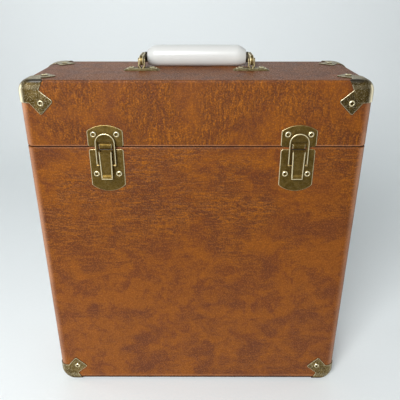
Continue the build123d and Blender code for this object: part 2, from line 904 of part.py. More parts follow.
for side, x in hinge_places.items():
    save(hinge_leaf(x, -1, body_bores), f"hinge_body_leaf_{side}")
    save(hinge_leaf(x, 1, lid_bores), f"hinge_lid_leaf_{side}")
    save(hinge_pin(x), f"hinge_pin_{side}")

for side, x in latch_places.items():
    save(latch_strike(x, lid_bores), f"latch_strike_{side}")
    save(latch_base(x, body_bores), f"latch_base_{side}")
    save(latch_lever(x), f"latch_lever_{side}")
    save(
        latch_pin(x, lever_pivot, lever_pin_diameter, lever_pin_length),
        f"latch_lever_pin_{side}",
    )
    save(latch_bail(x), f"latch_bail_{side}")
    save(latch_pin(x, bail_pivot, bail_pin_diameter, bail_pin_length), f"latch_bail_pin_{side}")

for side, x in handle_places.items():
    save(handle_plate(x, lid_bores), f"handle_plate_{side}")
    save(handle_link(x), f"handle_link_{side}")
save(grip_core(), "handle_core")
save(handle_grip(), "handle_grip")

save_rivets(body_guard_rivets, "body_guard_rivets")
save_rivets(lid_guard_rivets, "lid_guard_rivets")
save_rivets(latch_base_rivets, "latch_base_rivets")
save_rivets(latch_strike_rivets, "latch_strike_rivets")
save_rivets(hinge_body_rivets, "hinge_body_rivets")
save_rivets(hinge_lid_rivets, "hinge_lid_rivets")
save_rivets(handle_rivets, "handle_plate_rivets")
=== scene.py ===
# %% [markdown]
# # A record carrying case, finished in Blender
#
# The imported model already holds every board, plate, rivet and pin at its true size. What it lacks
# is what a camera sees first: the mottled skin, the pressed brass with its rubbed edges, the soft
# white grip and the light of a studio. This lesson adds them, cell by cell.

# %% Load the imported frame
import json
import math

import bmesh
import bpy
import numpy as np
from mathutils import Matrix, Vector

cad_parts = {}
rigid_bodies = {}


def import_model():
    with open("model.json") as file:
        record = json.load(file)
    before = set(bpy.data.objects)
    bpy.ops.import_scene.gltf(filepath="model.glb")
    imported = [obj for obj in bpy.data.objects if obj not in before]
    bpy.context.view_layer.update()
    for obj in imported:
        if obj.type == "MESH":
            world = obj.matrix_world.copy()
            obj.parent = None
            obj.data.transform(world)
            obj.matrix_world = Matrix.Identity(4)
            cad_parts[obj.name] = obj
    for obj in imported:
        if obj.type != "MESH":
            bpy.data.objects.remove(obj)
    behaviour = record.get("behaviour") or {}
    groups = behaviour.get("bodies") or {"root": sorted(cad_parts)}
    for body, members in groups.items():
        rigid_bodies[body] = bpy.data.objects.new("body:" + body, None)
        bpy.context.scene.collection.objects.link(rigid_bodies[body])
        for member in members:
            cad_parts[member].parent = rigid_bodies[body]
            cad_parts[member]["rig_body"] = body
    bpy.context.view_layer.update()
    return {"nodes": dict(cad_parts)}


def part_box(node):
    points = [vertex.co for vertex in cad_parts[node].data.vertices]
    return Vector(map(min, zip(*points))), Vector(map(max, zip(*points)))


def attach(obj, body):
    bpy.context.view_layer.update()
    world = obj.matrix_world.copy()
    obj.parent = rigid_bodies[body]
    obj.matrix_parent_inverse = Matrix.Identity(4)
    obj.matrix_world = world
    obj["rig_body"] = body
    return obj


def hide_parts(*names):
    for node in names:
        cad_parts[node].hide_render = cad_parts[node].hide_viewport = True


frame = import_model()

MM = 0.001

# %% [markdown]
# ## Places read from the frame
#
# Each piece must sit where its plain solid sits, so the outline of the case is measured from the
# packed coverings and not typed in again. X runs to the right, Y to the back and Z up.


# %% Measure the case
SIDES = ("left", "right")


def span(node):
    """A node's lowest and highest corners, in millimetres."""
    low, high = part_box(node)
    return np.array(low) / MM, np.array(high) / MM


def middle(node):
    """The centre of a node's box, in millimetres."""
    low, high = span(node)
    return (low + high) / 2


def length(node):
    """The length of a node along X, in millimetres."""
    low, high = span(node)
    return high[0] - low[0]


body_low, body_high = span("body_covering")
lid_low, lid_high = span("lid_covering")
half_width = body_high[0]
front_y, back_y = body_low[1], body_high[1]
half_depth = (back_y - front_y) / 2
middle_y = (front_y + back_y) / 2
base_z, body_rim_z = body_low[2], body_high[2]
lid_rim_z, top_z = lid_low[2], lid_high[2]
seam_z = (body_rim_z + lid_rim_z) / 2
print("case, mm:", np.round(2 * half_width, 1), np.round(2 * half_depth, 1), np.round(top_z, 1))

# %% [markdown]
# ## The camera
#
# A photograph fixes how an object is seen: the same lens from another distance would change how
# fast the sides draw together. The camera's place was worked out from the case's corners, and it
# looks down at about 25 degrees from half a metre away.

# %% Camera
camera_data = bpy.data.cameras.new("camera")
camera_data.lens = 42.5
camera_data.sensor_width = 36.0
camera = bpy.data.objects.new("camera", camera_data)
camera.location = (0.0049, -0.5214, 0.4703)
camera.rotation_euler = (math.radians(65.25), 0.0, math.radians(0.13))
bpy.context.scene.collection.objects.link(camera)
bpy.context.scene.camera = camera
bpy.context.scene.view_settings.view_transform = "Standard"

# %% [markdown]
# ## Surfaces worked out with numpy
#
# Nearly all pieces here are pressed, turned or cast, so each is one of three simple surfaces: an
# outline with a rounded edge, a profile turned about an axis, or a section carried along a path.
# Each is a grid of points made as whole arrays. A brightness number goes with every point, and
# the brass and the covering read it: above 0 the spot is bright, with wear on the brass rims and
# crowns and with painted highlights, and below 0 it carries painted shade, in gaps, holes and
# under edges, and is dark.


# %% Shells: points, faces and the brightness number
def net(points, wear_and_light=0.0, round_rows=False, round_columns=False):
    """A shell from a grid of points: the face between rows i, i+1 and columns j, j+1 is a quad."""
    rows, columns = points.shape[:2]
    index = np.arange(rows * columns).reshape(rows, columns)
    if round_rows:
        index = np.vstack([index, index[:1]])
    if round_columns:
        index = np.hstack([index, index[:, :1]])
    corners = (index[:-1, :-1], index[1:, :-1], index[1:, 1:], index[:-1, 1:])
    quads = np.stack(corners, axis=-1).reshape(-1, 4)
    wear_and_light_values = np.broadcast_to(np.asarray(wear_and_light, float), (rows, columns))
    return points.reshape(-1, 3), quads.tolist(), wear_and_light_values.reshape(-1).copy()


def capped(shell, rows, columns):
    """The same shell with its first and last rows closed by one flat face each."""
    points, faces, wear_and_light = shell
    first = list(range(columns))
    last = [(rows - 1) * columns + k for k in first]
    return points, faces + [first[::-1], last], wear_and_light


def build_piece(name, shells, body, node, slot, material=None, sharp=38.0):
    """One mesh from closed shells, doubles merged and faces outwards, in its node's place.

    It takes the finish of its slot unless it is given another.
    """
    points, faces, wear_and_light_values = zip(*shells)
    starts = np.cumsum([0] + [len(each) for each in points[:-1]])
    joined = [[int(k + start) for k in face] for start, each in zip(starts, faces) for face in each]
    mesh = bpy.data.meshes.new(name)
    mesh.from_pydata(np.concatenate(points) * MM, [], joined)
    mesh.attributes.new("wear_and_light", "FLOAT", "POINT").data.foreach_set("value", np.concatenate(wear_and_light_values))
    shape = bmesh.new()
    shape.from_mesh(mesh)
    bmesh.ops.remove_doubles(shape, verts=shape.verts, dist=1e-6)
    bmesh.ops.dissolve_degenerate(shape, edges=shape.edges, dist=1e-7)
    bmesh.ops.recalc_face_normals(shape, faces=shape.faces)
    shape.to_mesh(mesh)
    shape.free()
    mesh.shade_smooth()
    mesh.set_sharp_from_angle(angle=math.radians(sharp))
    mesh.materials.append(material or finishes[slot])
    piece = bpy.data.objects.new(name, mesh)
    bpy.context.scene.collection.objects.link(piece)
    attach(piece, body)
    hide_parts(node)
    print(f"{name}: {len(mesh.polygons)} faces")


# %% [markdown]
# ### Outlines
#
# A pressed plate starts as a flat outline whose corners are rounded, because a punch with sharp
# corners would crack the sheet. Moving every point of an outline inwards by the same distance
# gives the ring inside it, and a few such rings at falling heights are a rounded edge.


# %% Outlines and their insets
def rounded(corners, radii, steps=6):
    """A closed outline with arcs for corners.

    The arc's centre lies on the corner's bisector, radius / sin(half angle) away, and its points
    turn evenly from where it leaves one side to where it meets the next.
    """
    corners = np.asarray(corners, float)
    radii = np.broadcast_to(np.asarray(radii, float), len(corners))[:, None]
    back = np.roll(corners, 1, axis=0) - corners
    ahead = np.roll(corners, -1, axis=0) - corners
    back /= np.linalg.norm(back, axis=1, keepdims=True)
    ahead /= np.linalg.norm(ahead, axis=1, keepdims=True)
    half = np.arccos(np.clip((back * ahead).sum(axis=1, keepdims=True), -1, 1)) / 2
    bisector = back + ahead
    bisector /= np.maximum(np.linalg.norm(bisector, axis=1, keepdims=True), 1e-9)
    centre = corners + bisector * radii / np.sin(half)
    start = corners + back * radii / np.tan(half) - centre
    end = corners + ahead * radii / np.tan(half) - centre
    turn = np.pi - 2 * half
    share = np.linspace(0, 1, steps + 1)[None, :, None]
    turn = np.maximum(turn, 1e-6)[:, None, :]
    arc = np.sin((1 - share) * turn) * start[:, None] + np.sin(share * turn) * end[:, None]
    points = (centre[:, None] + arc / np.sin(turn)).reshape(-1, 2)
    moved = np.linalg.norm(points - np.roll(points, 1, axis=0), axis=1)
    return anticlockwise(points[moved > 1e-6])


def anticlockwise(outline):
    """The same outline, turned round if its signed area is negative."""
    ahead = np.roll(outline, -1, axis=0)
    area = (outline[:, 0] * ahead[:, 1] - outline[:, 1] * ahead[:, 0]).sum()
    return outline if area > 0 else outline[::-1].copy()


def outward(outline):
    """For each point the step that moves both its sides out by one: the mitre of their normals."""
    ahead = np.roll(outline, -1, axis=0) - outline
    ahead /= np.linalg.norm(ahead, axis=1, keepdims=True)
    along = ahead + np.roll(ahead, 1, axis=0)
    size = (along**2).sum(axis=1, keepdims=True)
    return np.stack([along[:, 1], -along[:, 0]], axis=1) * 2 / np.maximum(size, 0.5)


def arc_between(start, top, end, count):
    """Points of the circle arc through three points, without its two ends."""
    start, top, end = (np.asarray(p, float) for p in (start, top, end))
    a, b = top - start, end - start
    cross = 2 * (a[0] * b[1] - a[1] * b[0])
    centre = start + np.array(
        [b[1] * (a @ a) - a[1] * (b @ b), a[0] * (b @ b) - b[0] * (a @ a)]
    ) / cross
    angles = [math.atan2(*(p - centre)[::-1]) for p in (start, top, end)]
    first = (angles[1] - angles[0] + np.pi) % (2 * np.pi) - np.pi
    second = (angles[2] - angles[1] + np.pi) % (2 * np.pi) - np.pi
    swept = angles[0] + np.linspace(0, first + second, count + 2)[1:-1]
    radius = np.linalg.norm(start - centre)
    return centre + radius * np.stack([np.cos(swept), np.sin(swept)], axis=1)


# %% [markdown]
# ### A solid with rounded edges
#
# Sheet metal, castings and boards all lose their sharp edges in the making. The shape is an
# outline pushed through a thickness: a quarter circle of insets at each end rounds the edge, and a
# narrow ring beyond it keeps the polish and painted highlight of the edge from bleeding over the
# flat face.


# %% Prisms
def quarter_round(edge, steps=3):
    """Insets and depths of a quarter circle that turns from a face into a side."""
    angle = np.linspace(0, np.pi / 2, steps + 1)
    return edge * (1 - np.sin(angle)), edge * (1 - np.cos(angle))


def prism(outline, low, high, edge, place, wear_and_light=1.0, fade=0.35, level_wear_and_light=1.0):
    """An outline pushed from low to high, with rounded rims.

    The rim number is the polish and painted highlight of those rims, and the level share the
    part of it left where the rim runs level, so that less highlight is painted on level rims.
    It dies away over the distance fade, which must stay within the outline's corner radii.
    """
    inset, depth = quarter_round(edge)
    glow = wear_and_light * (0.6 + 0.4 * np.sin(np.linspace(0, np.pi, len(inset))))
    rings = [(edge + fade, low, 0.0)]
    rings += list(zip(inset, low + depth, glow))
    if high - low > 2 * (edge + fade):
        rings += [(0.0, low + edge + fade, 0.0), (0.0, high - edge - fade, 0.0)]
    rings += list(zip(inset[::-1], high - depth[::-1], glow[::-1]))
    rings += [(edge + fade, high, 0.0)]
    insets, levels, wear_and_light_values = (np.array(column, float) for column in zip(*rings))
    flat = outline[None] - outward(outline)[None] * insets[:, None, None]
    points = place(flat[..., 0], flat[..., 1], np.broadcast_to(levels[:, None], flat.shape[:2]))
    upright = np.abs(outward(outline)[:, 0]) ** 2
    share = level_wear_and_light + (1 - level_wear_and_light) * np.clip(upright, 0, 1)
    shell = net(points, wear_and_light_values[:, None] * share[None], round_columns=True)
    return capped(shell, len(rings), len(outline))


def at_front(x):
    """Places (right, up from the seam, out) on the front of the case."""
    return lambda u, v, w: np.stack([x + u, front_y - w, seam_z + v], axis=-1)


def at_back(x):
    """Places (right, up from the seam, out) on the back of the case."""
    return lambda u, v, w: np.stack([x + u, back_y + w, seam_z + v], axis=-1)


def beside_latch(x):
    """Places (out of the front, up from the seam, right), for shapes drawn from the side."""
    return lambda u, v, w: np.stack([x + w, front_y - u, seam_z + v], axis=-1)


# %% [markdown]
# ### A turned solid
#
# Rivets, pins and bars are round, so one profile and a ring of angles give all their points. The
# same points are then set down once for each place, in one array.


# %% Turned solids
def turned(profile, wear_and_light, origins, axes, count=28):
    """A profile (radius, height) turned about an axis, at every origin.

    Point = origin + radius * (cos a * side + sin a * other) + height * axis.
    """
    profile = np.asarray(profile, float)
    origins = np.atleast_2d(np.asarray(origins, float))
    axes = np.broadcast_to(np.asarray(axes, float), origins.shape)
    helper = np.where(np.abs(axes[:, 2:]) > 0.9, [[1.0, 0, 0]], [[0, 0, 1.0]])
    side = np.cross(axes, helper)
    other = np.cross(axes, side)
    angle = np.linspace(0, 2 * np.pi, count, endpoint=False)
    ring = (
        np.cos(angle)[None, :, None] * side[:, None] + np.sin(angle)[None, :, None] * other[:, None]
    )
    points = (
        origins[:, None, None]
        + profile[None, :, None, :1] * ring[:, None]
        + profile[None, :, None, 1:] * axes[:, None, None]
    )
    wear_and_light_values = np.broadcast_to(np.asarray(wear_and_light, float), len(profile))[:, None]
    return [net(each, wear_and_light_values, round_columns=True) for each in points]


# %% [markdown]
# ## Small tools for finishes
#
# A finish is a net of shader nodes. A few helpers keep the cells short: one adds a node with its
# settings and inputs, some stand for the nodes used most, and one makes a node group, which is a
# small machine that several finishes share, each with its own numbers.


# %% Shader tools
def plug(tree, node, values):
    """Fills a node's inputs: a socket is linked and anything else is set as a value."""
    for key, value in values.items():
        if isinstance(value, bpy.types.NodeSocket):
            tree.links.new(value, node.inputs[key])
        else:
            node.inputs[key].default_value = value


def add(tree, kind, values, **settings):
    """Adds a shader node with its settings and inputs."""
    made = tree.nodes.new("ShaderNode" + kind)
    for key, value in settings.items():
        setattr(made, key, value)
    plug(tree, made, values)
    return made


def mix(tree, factor, low, high):
    """The colour between two colours, by a factor."""
    return add(tree, "Mix", {0: factor, 6: low, 7: high}, data_type="RGBA").outputs[2]


def window(tree, value, low, high, out_low=0.0, out_high=1.0):
    """A smooth step: out_low below low, out_high above high."""
    values = {0: value, 1: low, 2: high, 3: out_low, 4: out_high}
    return add(tree, "MapRange", values, interpolation_type="SMOOTHSTEP").outputs[0]


def reckon(tree, operation, first, second=0.0):
    """One sum on two numbers."""
    return add(tree, "Math", {0: first, 1: second}, operation=operation).outputs[0]


def times(tree, first, second):
    """Two numbers multiplied."""
    return reckon(tree, "MULTIPLY", first, second)


def noise(tree, where, scale, detail, **more):
    """Soft noise from about 0 to 1; more may hold its Roughness and Distortion."""
    values = {"Vector": where, "Scale": scale, "Detail": detail, **more}
    return add(tree, "TexNoise", values).outputs[0]


def wear_and_light_of(tree):
    """The brightness number that every point of a piece carries: wear and painted light."""
    return add(tree, "Attribute", {}, attribute_name="wear_and_light").outputs["Fac"]


def group(name, numbers, output):
    """An empty node group: a Vector and some numbers in, one number out.

    Returns the group, the sockets inside it that bring the inputs, and the one for its result.
    """
    made = bpy.data.node_groups.new(name, "ShaderNodeTree")
    made.interface.new_socket("Vector", in_out="INPUT", socket_type="NodeSocketVector")
    for label, value in numbers.items():
        socket = made.interface.new_socket(label, in_out="INPUT", socket_type="NodeSocketFloat")
        socket.default_value = value
    made.interface.new_socket(output, in_out="OUTPUT", socket_type="NodeSocketFloat")
    inside = made.nodes.new("NodeGroupInput").outputs
    return made, inside, made.nodes.new("NodeGroupOutput").inputs[output]


def use(tree, made, values):
    """A node group placed in a material; returns its result."""
    placed = tree.nodes.new("ShaderNodeGroup")
    placed.node_tree = made
    plug(tree, placed, values)
    return placed.outputs[0]


def finish(name, **constants):
    """A new material: its tree, shader and Object coordinates. Constants go on the shader."""
    material = bpy.data.materials.new(name)
    material.use_nodes = True
    tree = material.node_tree
    shader = tree.nodes["Principled BSDF"]
    for label, value in constants.items():
        shader.inputs[label.replace("_", " ")].default_value = value
    where = tree.nodes.new("ShaderNodeTexCoord").outputs["Object"]
    return material, tree, shader, where


def feed(tree, shader, **sockets):
    """Links sockets to the shader's inputs; an underscore in a label stands for a space."""
    for label, socket in sockets.items():
        tree.links.new(socket, shader.inputs[label.replace("_", " ")])


def set_bump(tree, shader, height, strength, distance):
    """Feeds a height into the shader's normal; distance is the real depth in metres."""
    bump = add(tree, "Bump", {"Strength": strength, "Distance": distance, "Height": height})
    feed(tree, shader, Normal=bump.outputs["Normal"])


def stretched(tree, where, scale, turn=(0.0, 0.0, 0.0)):
    """Coordinates turned and stretched, for a pattern that runs one way."""
    return add(tree, "Mapping", {"Vector": where, "Rotation": turn, "Scale": scale}).outputs[0]


# %% [markdown]
# ## Shared effects
#
# A few effects turn up in more than one finish. Pebbles are the small raised cells of a leather
# grain. Cloud is soft uneven colour. Strokes are noise drawn out one way, for creases and brushed
# metal, and fine lines are the places where such a noise passes its middle value. The last one
# takes the brightness number of a piece and breaks its border up, so that worn edges and painted
# highlights end raggedly.

# %% Pebbles
pebbles, inside, out = group("Pebble grain", {"Cells per metre": 900.0}, "Height")
wander = {"Vector": inside["Vector"], "Scale": 420.0, "Detail": 2.0, "Roughness": 0.6}
wander = add(pebbles, "TexNoise", wander).outputs["Color"]
shifted = {0: wander, 1: (0.0016, 0.0016, 0.0016), 2: inside["Vector"]}
shifted = add(pebbles, "VectorMath", shifted, operation="MULTIPLY_ADD").outputs[0]
cells = {"Vector": shifted, "Scale": inside["Cells per metre"], "Smoothness": 0.6}
cells = add(pebbles, "TexVoronoi", cells, feature="SMOOTH_F1")
dome = window(pebbles, cells.outputs["Distance"], 0.1, 0.75, 1.0, 0.0)
pebbles.links.new(dome, out)

# %% Cloud
numbers = {"Scale": 20.0, "Detail": 5.0, "From": 0.4, "To": 0.6}
cloud, inside, out = group("Cloud", numbers, "Mask")
puffs = noise(
    cloud, inside["Vector"], inside["Scale"], inside["Detail"], Roughness=0.6, Distortion=0.6
)
cloud.links.new(window(cloud, puffs, inside["From"], inside["To"]), out)


def cloudy(tree, where, scale, start, full, detail=5.0):
    """Cloud in a material: noise below start is 0 and noise above full is 1."""
    values = {"Vector": where, "Scale": scale, "Detail": detail, "From": start, "To": full}
    return use(tree, cloud, values)


# %% Strokes and fine lines
strokes, inside, out = group("Strokes", {"Wander": 0.8}, "Height")
drawn = noise(strokes, inside["Vector"], 1.0, 3.0, Roughness=0.55, Distortion=inside["Wander"])
strokes.links.new(window(strokes, drawn, 0.33, 0.67), out)

fine_lines, inside, out = group("Fine lines", {"Width": 0.05, "Wander": 0.6}, "Line")
drawn = noise(fine_lines, inside["Vector"], 1.0, 2.0, Roughness=0.5, Distortion=inside["Wander"])
past_middle = reckon(fine_lines, "ABSOLUTE", reckon(fine_lines, "SUBTRACT", drawn, 0.5))
thin = window(fine_lines, past_middle, 0.0, inside["Width"], 1.0, 0.0)
fine_lines.links.new(thin, out)

# %% Polish and painted highlight
wear_and_highlight, inside, out = group("Wear_and_highlight_border", {"Light_and_wear": 0.0, "Raggedness": 0.35}, "Mask")
nibble = reckon(wear_and_highlight, "SUBTRACT", noise(wear_and_highlight, inside["Vector"], 900.0, 3.0, Roughness=0.7), 0.5)
ragged = reckon(wear_and_highlight, "ADD", times(wear_and_highlight, nibble, inside["Raggedness"]), inside["Light_and_wear"])
wear_and_highlight.links.new(window(wear_and_highlight, ragged, 0.15, 0.85), out)
print("effects:", [made.name for made in (pebbles, cloud, strokes, fine_lines, wear_and_highlight)])

# %% [markdown]
# ## The covering
#
# The case is covered in a coated cloth that imitates waxed hide: a tan ground, darker brown
# blotches a few centimetres across, a pebble grain of about a millimetre and creases where the
# sheet was drawn over the boards. On the lid the creases stand upright, on the body they lie
# nearly level, because the two pieces were cut from the roll in different directions. A painted
# highlight runs up the corner edges, brightest towards the top, for the reflection of the bright
# floor beside the case; the lid's rim carries a painted highlight, and the seam and the foot carry
# painted shade, with a painted highlight line just above the foot. One function makes both
# sheets, and takes the direction of the creases.


# %% Mottled covering
HIDE = {
    "tan": (0.236, 0.066, 0.0020, 1),
    "spot": (0.150, 0.037, 0.0040, 1),
    "blotch": (0.117, 0.029, 0.0060, 1),
    "drawn": (0.350, 0.108, 0.0040, 1),
    "crease": (0.050, 0.012, 0.003, 1),
    "pore": (0.045, 0.011, 0.003, 1),
    "crown": (0.46, 0.17, 0.030, 1),
    # The last two colours are a painted highlight and a near-black painted shade.
    "worn_and_lit": (0.66, 0.34, 0.20, 1),
    "painted_shade": (0.012, 0.006, 0.003, 1),
}


def covering(name, crease_scale, crease_turn, blotch_scale, crease_share, faint_z, full_z):
    """Tan ground, dark blotches, creases, pebbles, painted highlight and shade, in that order.

    The creases are faint below faint_z and full above full_z, which are heights in metres.
    """
    material, tree, shader, where = finish(name, IOR=1.45, Specular_IOR_Level=0.3)
    broad = cloudy(tree, stretched(tree, where, blotch_scale), 1.0, 0.42, 0.70, 4.0)
    shade = mix(tree, cloudy(tree, where, 58.0, 0.45, 0.66), HIDE["tan"], HIDE["spot"])
    shade = mix(tree, broad, shade, HIDE["blotch"])

    along = stretched(tree, where, crease_scale, crease_turn)
    hair = use(tree, strokes, {"Vector": along, "Wander": 0.9})
    line = use(tree, fine_lines, {"Vector": along, "Width": 0.08, "Wander": 0.9})
    height = add(tree, "SeparateXYZ", {0: where}).outputs["Z"]
    patchy = window(tree, cloudy(tree, where, 14.0, 0.36, 0.62, 1.0), 0.0, 1.0, 0.35, 1.0)
    strength = times(tree, window(tree, height, faint_z, full_z, 0.3, 1.0), patchy)
    line, hair = times(tree, line, strength), times(tree, hair, strength)
    shade = mix(tree, times(tree, hair, 0.62), shade, HIDE["drawn"])
    shade = mix(tree, times(tree, line, crease_share), shade, HIDE["crease"])

    grain = use(tree, pebbles, {"Vector": where, "Cells per metre": 640.0})
    pores = reckon(tree, "SUBTRACT", 1.0, grain)
    pores = times(tree, pores, window(tree, strength, 0.1, 1.0, 0.30, 0.52))
    shade = mix(tree, pores, shade, HIDE["pore"])
    shade = mix(tree, window(tree, grain, 0.55, 1.0, 0.0, 0.16), shade, HIDE["crown"])

    # Painted highlight where the number is above 0, painted shade where it is below 0.
    wear_and_light = wear_and_light_of(tree)
    painted_highlight = times(tree, wear_and_light, window(tree, patchy, 0.35, 1.0, 0.55, 0.8))
    shade = mix(tree, painted_highlight, shade, HIDE["worn_and_lit"])
    shade = mix(tree, window(tree, wear_and_light, -1.0, 0.0, 0.94, 0.0), shade, HIDE["painted_shade"])
    feed(tree, shader, Base_Color=shade, Roughness=window(tree, grain, 0.0, 1.0, 0.60, 0.38))
    relief = reckon(tree, "ADD", times(tree, hair, 1.1), grain)
    relief = reckon(tree, "SUBTRACT", relief, times(tree, line, 1.2))
    set_bump(tree, shader, relief, 0.5, 0.0002)
    return material


lid_covering = covering(
    "Covering, lid", (390.0, 390.0, 95.0), (0.0, 0.10, 0.0), (42.0, 42.0, 24.0), 0.55, 0.0, 0.02
)
body_covering = covering(
    "Covering, body", (60.0, 60.0, 420.0), (0.0, -0.08, 0.0), (24.0, 24.0, 36.0), 0.6, 0.14, 0.26
)

# %% [markdown]
# ## Antique brass
#
# The fittings are brass that was blackened in a bath and then tumbled. The hollows keep an
# olive-brown skin, and wherever the tumbling reached, mostly rims and crowns, the bright metal
# shows. The same bright colour also paints highlights, and a near-black paints shade in gaps,
# holes and under edges. The same recipe serves all fittings with a different tone, speckle and
# polish.


# %% Antique brass
# Bright colours for worn brass and for painted highlights; the guards' paler one also paints their
# reflection of the floor.
CREAM_BRASS, PALE_BRASS = (0.80, 0.70, 0.43, 1), (0.90, 0.80, 0.54, 1)
# A near-black for painted shade.
PAINTED_SHADE_BLACK = (0.012, 0.009, 0.004, 1)


def antique_brass(name, dark, tone, speckle, roughness, bright):
    """Dark skin, cloudy tone, speckle; wear and painted highlight above 0, painted shade below."""
    material, tree, shader, where = finish(name)
    patches = cloudy(tree, where, 160.0, 0.35, 0.7)
    specks = cloudy(tree, where, 900.0, 0.52, 0.66, 2.0)
    wear_and_light = wear_and_light_of(tree)
    worn_and_lit = use(tree, wear_and_highlight, {"Vector": where, "Light_and_wear": wear_and_light})
    shade_mask = window(tree, wear_and_light, -1.0, 0.0, 1.0, 0.0)
    colour = mix(tree, patches, dark, tone)
    colour = mix(tree, times(tree, specks, speckle), colour, bright)
    colour = mix(tree, worn_and_lit, colour, bright)
    colour = mix(tree, times(tree, shade_mask, 0.93), colour, PAINTED_SHADE_BLACK)
    metal = window(tree, worn_and_lit, 0.0, 1.0, 0.95, 0.5)
    metal = times(tree, metal, window(tree, shade_mask, 0.0, 1.0, 1.0, 0.2))
    rough = window(tree, worn_and_lit, 0.0, 1.0, roughness, roughness - 0.14)
    feed(tree, shader, Base_Color=colour, Metallic=metal, Roughness=rough)
    set_bump(tree, shader, noise(tree, where, 330.0, 4.0), 0.5, 0.00012)
    return material


finishes = {}
for kind, dark, tone, speckle, roughness, bright in (
    ("latch", (0.165, 0.100, 0.018, 1), (0.27, 0.172, 0.042, 1), 0.10, 0.44, CREAM_BRASS),
    ("guard", (0.082, 0.050, 0.009, 1), (0.20, 0.132, 0.036, 1), 0.42, 0.44, PALE_BRASS),
    ("rivet", (0.08, 0.05, 0.012, 1), (0.19, 0.12, 0.035, 1), 0.10, 0.36, CREAM_BRASS),
    ("handle fitting", (0.11, 0.075, 0.018, 1), (0.22, 0.155, 0.055, 1), 0.12, 0.54, CREAM_BRASS),
    ("hinge", (0.13, 0.085, 0.02, 1), (0.25, 0.17, 0.055, 1), 0.2, 0.42, CREAM_BRASS),
):
    made = antique_brass(f"Antique brass, {kind}", dark, tone, speckle, roughness, bright)
    finishes[kind.replace(" ", "_")] = made

# %% [markdown]
# ## Moulded grip, lining, boards and steel
#
# The grip is white moulded plastic: nearly even, with a faint orange-peel surface and a little
# cloudy grime. The lining is short-napped felt, the boards are pressed fibre, and the
# strip inside the grip is brushed steel. None of these three shows when the case is shut, but a
# raised lid shows the lining, and a good part is finished all through.

# %% Grip and felt
grip_white, tree, shader, where = finish("Moulded grip", IOR=1.5)
grime = cloudy(tree, where, 60.0, 0.5, 0.8)
tone = mix(tree, times(tree, grime, 0.3), (0.56, 0.565, 0.545, 1), (0.50, 0.49, 0.45, 1))
feed(tree, shader, Base_Color=tone, Roughness=window(tree, grime, 0.0, 1.0, 0.3, 0.42))
set_bump(tree, shader, noise(tree, where, 380.0, 1.0), 0.25, 0.0001)

felt, tree, shader, where = finish("Felt lining", Sheen_Weight=0.5, Sheen_Roughness=0.6)
nap = noise(tree, where, 1500.0, 3.0)
pressed = cloudy(tree, where, 18.0, 0.35, 0.7)
tone = mix(tree, pressed, (0.030, 0.018, 0.011, 1), (0.046, 0.028, 0.017, 1))
tone = mix(tree, nap, tone, (0.075, 0.048, 0.030, 1))
feed(tree, shader, Base_Color=tone, Roughness=window(tree, nap, 0.2, 0.8, 0.85, 1.0))
set_bump(tree, shader, nap, 0.8, 0.0003)


# %% Pressed board and brushed steel
def stroked(name, scale, wander, colours, roughness, bump, **constants):
    """Strokes drawn out one way: two colours, two roughnesses and a shallow relief."""
    material, tree, shader, where = finish(name, **constants)
    values = {"Vector": stretched(tree, where, scale), "Wander": wander}
    stroke = use(tree, strokes, values)
    tone, rough = mix(tree, stroke, *colours), window(tree, stroke, 0.0, 1.0, *roughness)
    feed(tree, shader, Base_Color=tone, Roughness=rough)
    set_bump(tree, shader, stroke, *bump)
    return material


board = stroked(
    "Pressed board",
    (700.0, 90.0, 700.0),
    1.2,
    ((0.27, 0.175, 0.095, 1), (0.40, 0.28, 0.165, 1)),
    (0.75, 0.9),
    (0.4, 0.0002),
)
steel = stroked(
    "Brushed steel",
    (60.0, 2400.0, 2400.0),
    0.1,
    ((0.42, 0.42, 0.43, 1), (0.62, 0.62, 0.62, 1)),
    (0.42, 0.28),
    (0.3, 0.00005),
    Metallic=1.0,
)

# %% [markdown]
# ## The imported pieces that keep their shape
#
# Boards, lining and the steel strip are already right as solids, so they only take a finish. Every
# other node also gets its finish here, and the cells that follow replace its solid by a finer one.

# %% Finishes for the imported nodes
finishes |= {"covering": body_covering, "lining": felt, "board": board}
finishes |= {"grip": grip_white, "core": steel}
# A node takes the first of these words that its name holds; rivets sit on guards, latches and
# hinges, so they come first, and the handle's own pieces come last.
words = "covering lining board rivet guard hinge latch grip core handle".split()
for name, item in frame["nodes"].items():
    word = next(word for word in words if word in name)
    item.data.materials.clear()
    item.data.materials.append(finishes["handle_fitting" if word == "handle" else word])
print("finishes:", [made.name for made in finishes.values()])

# %% [markdown]
# ## Floor, wall and light
#
# A product photograph is taken on a paper sweep: a floor that curves up into a wall, so that no
# line runs behind the object. Here it is one profile carried sideways, which ends 30 cm in front of
# the case, so that the front mirrors the dark room and not the floor. One large soft light stands
# in front and above and a weak one at each side. A fourth is aimed at the wall, and the bright
# patch it makes there is what whitens the top of the lid.

# %% Sweep
FLOOR_FRONT, FLOOR_BACK, BEND_RADIUS, WALL_TOP, SWEEP_HALF = -300.0, 700.0, 500.0, 2200.0, 2200.0
paper, tree, shader, where = finish("Paper sweep")
tooth = noise(tree, where, 260.0, 4.0)
tone = mix(tree, tooth, (0.80, 0.835, 0.835, 1), (0.84, 0.87, 0.87, 1))
feed(tree, shader, Base_Color=tone, Roughness=window(tree, tooth, 0.2, 0.8, 0.55, 0.7))
set_bump(tree, shader, tooth, 0.15, 0.0002)

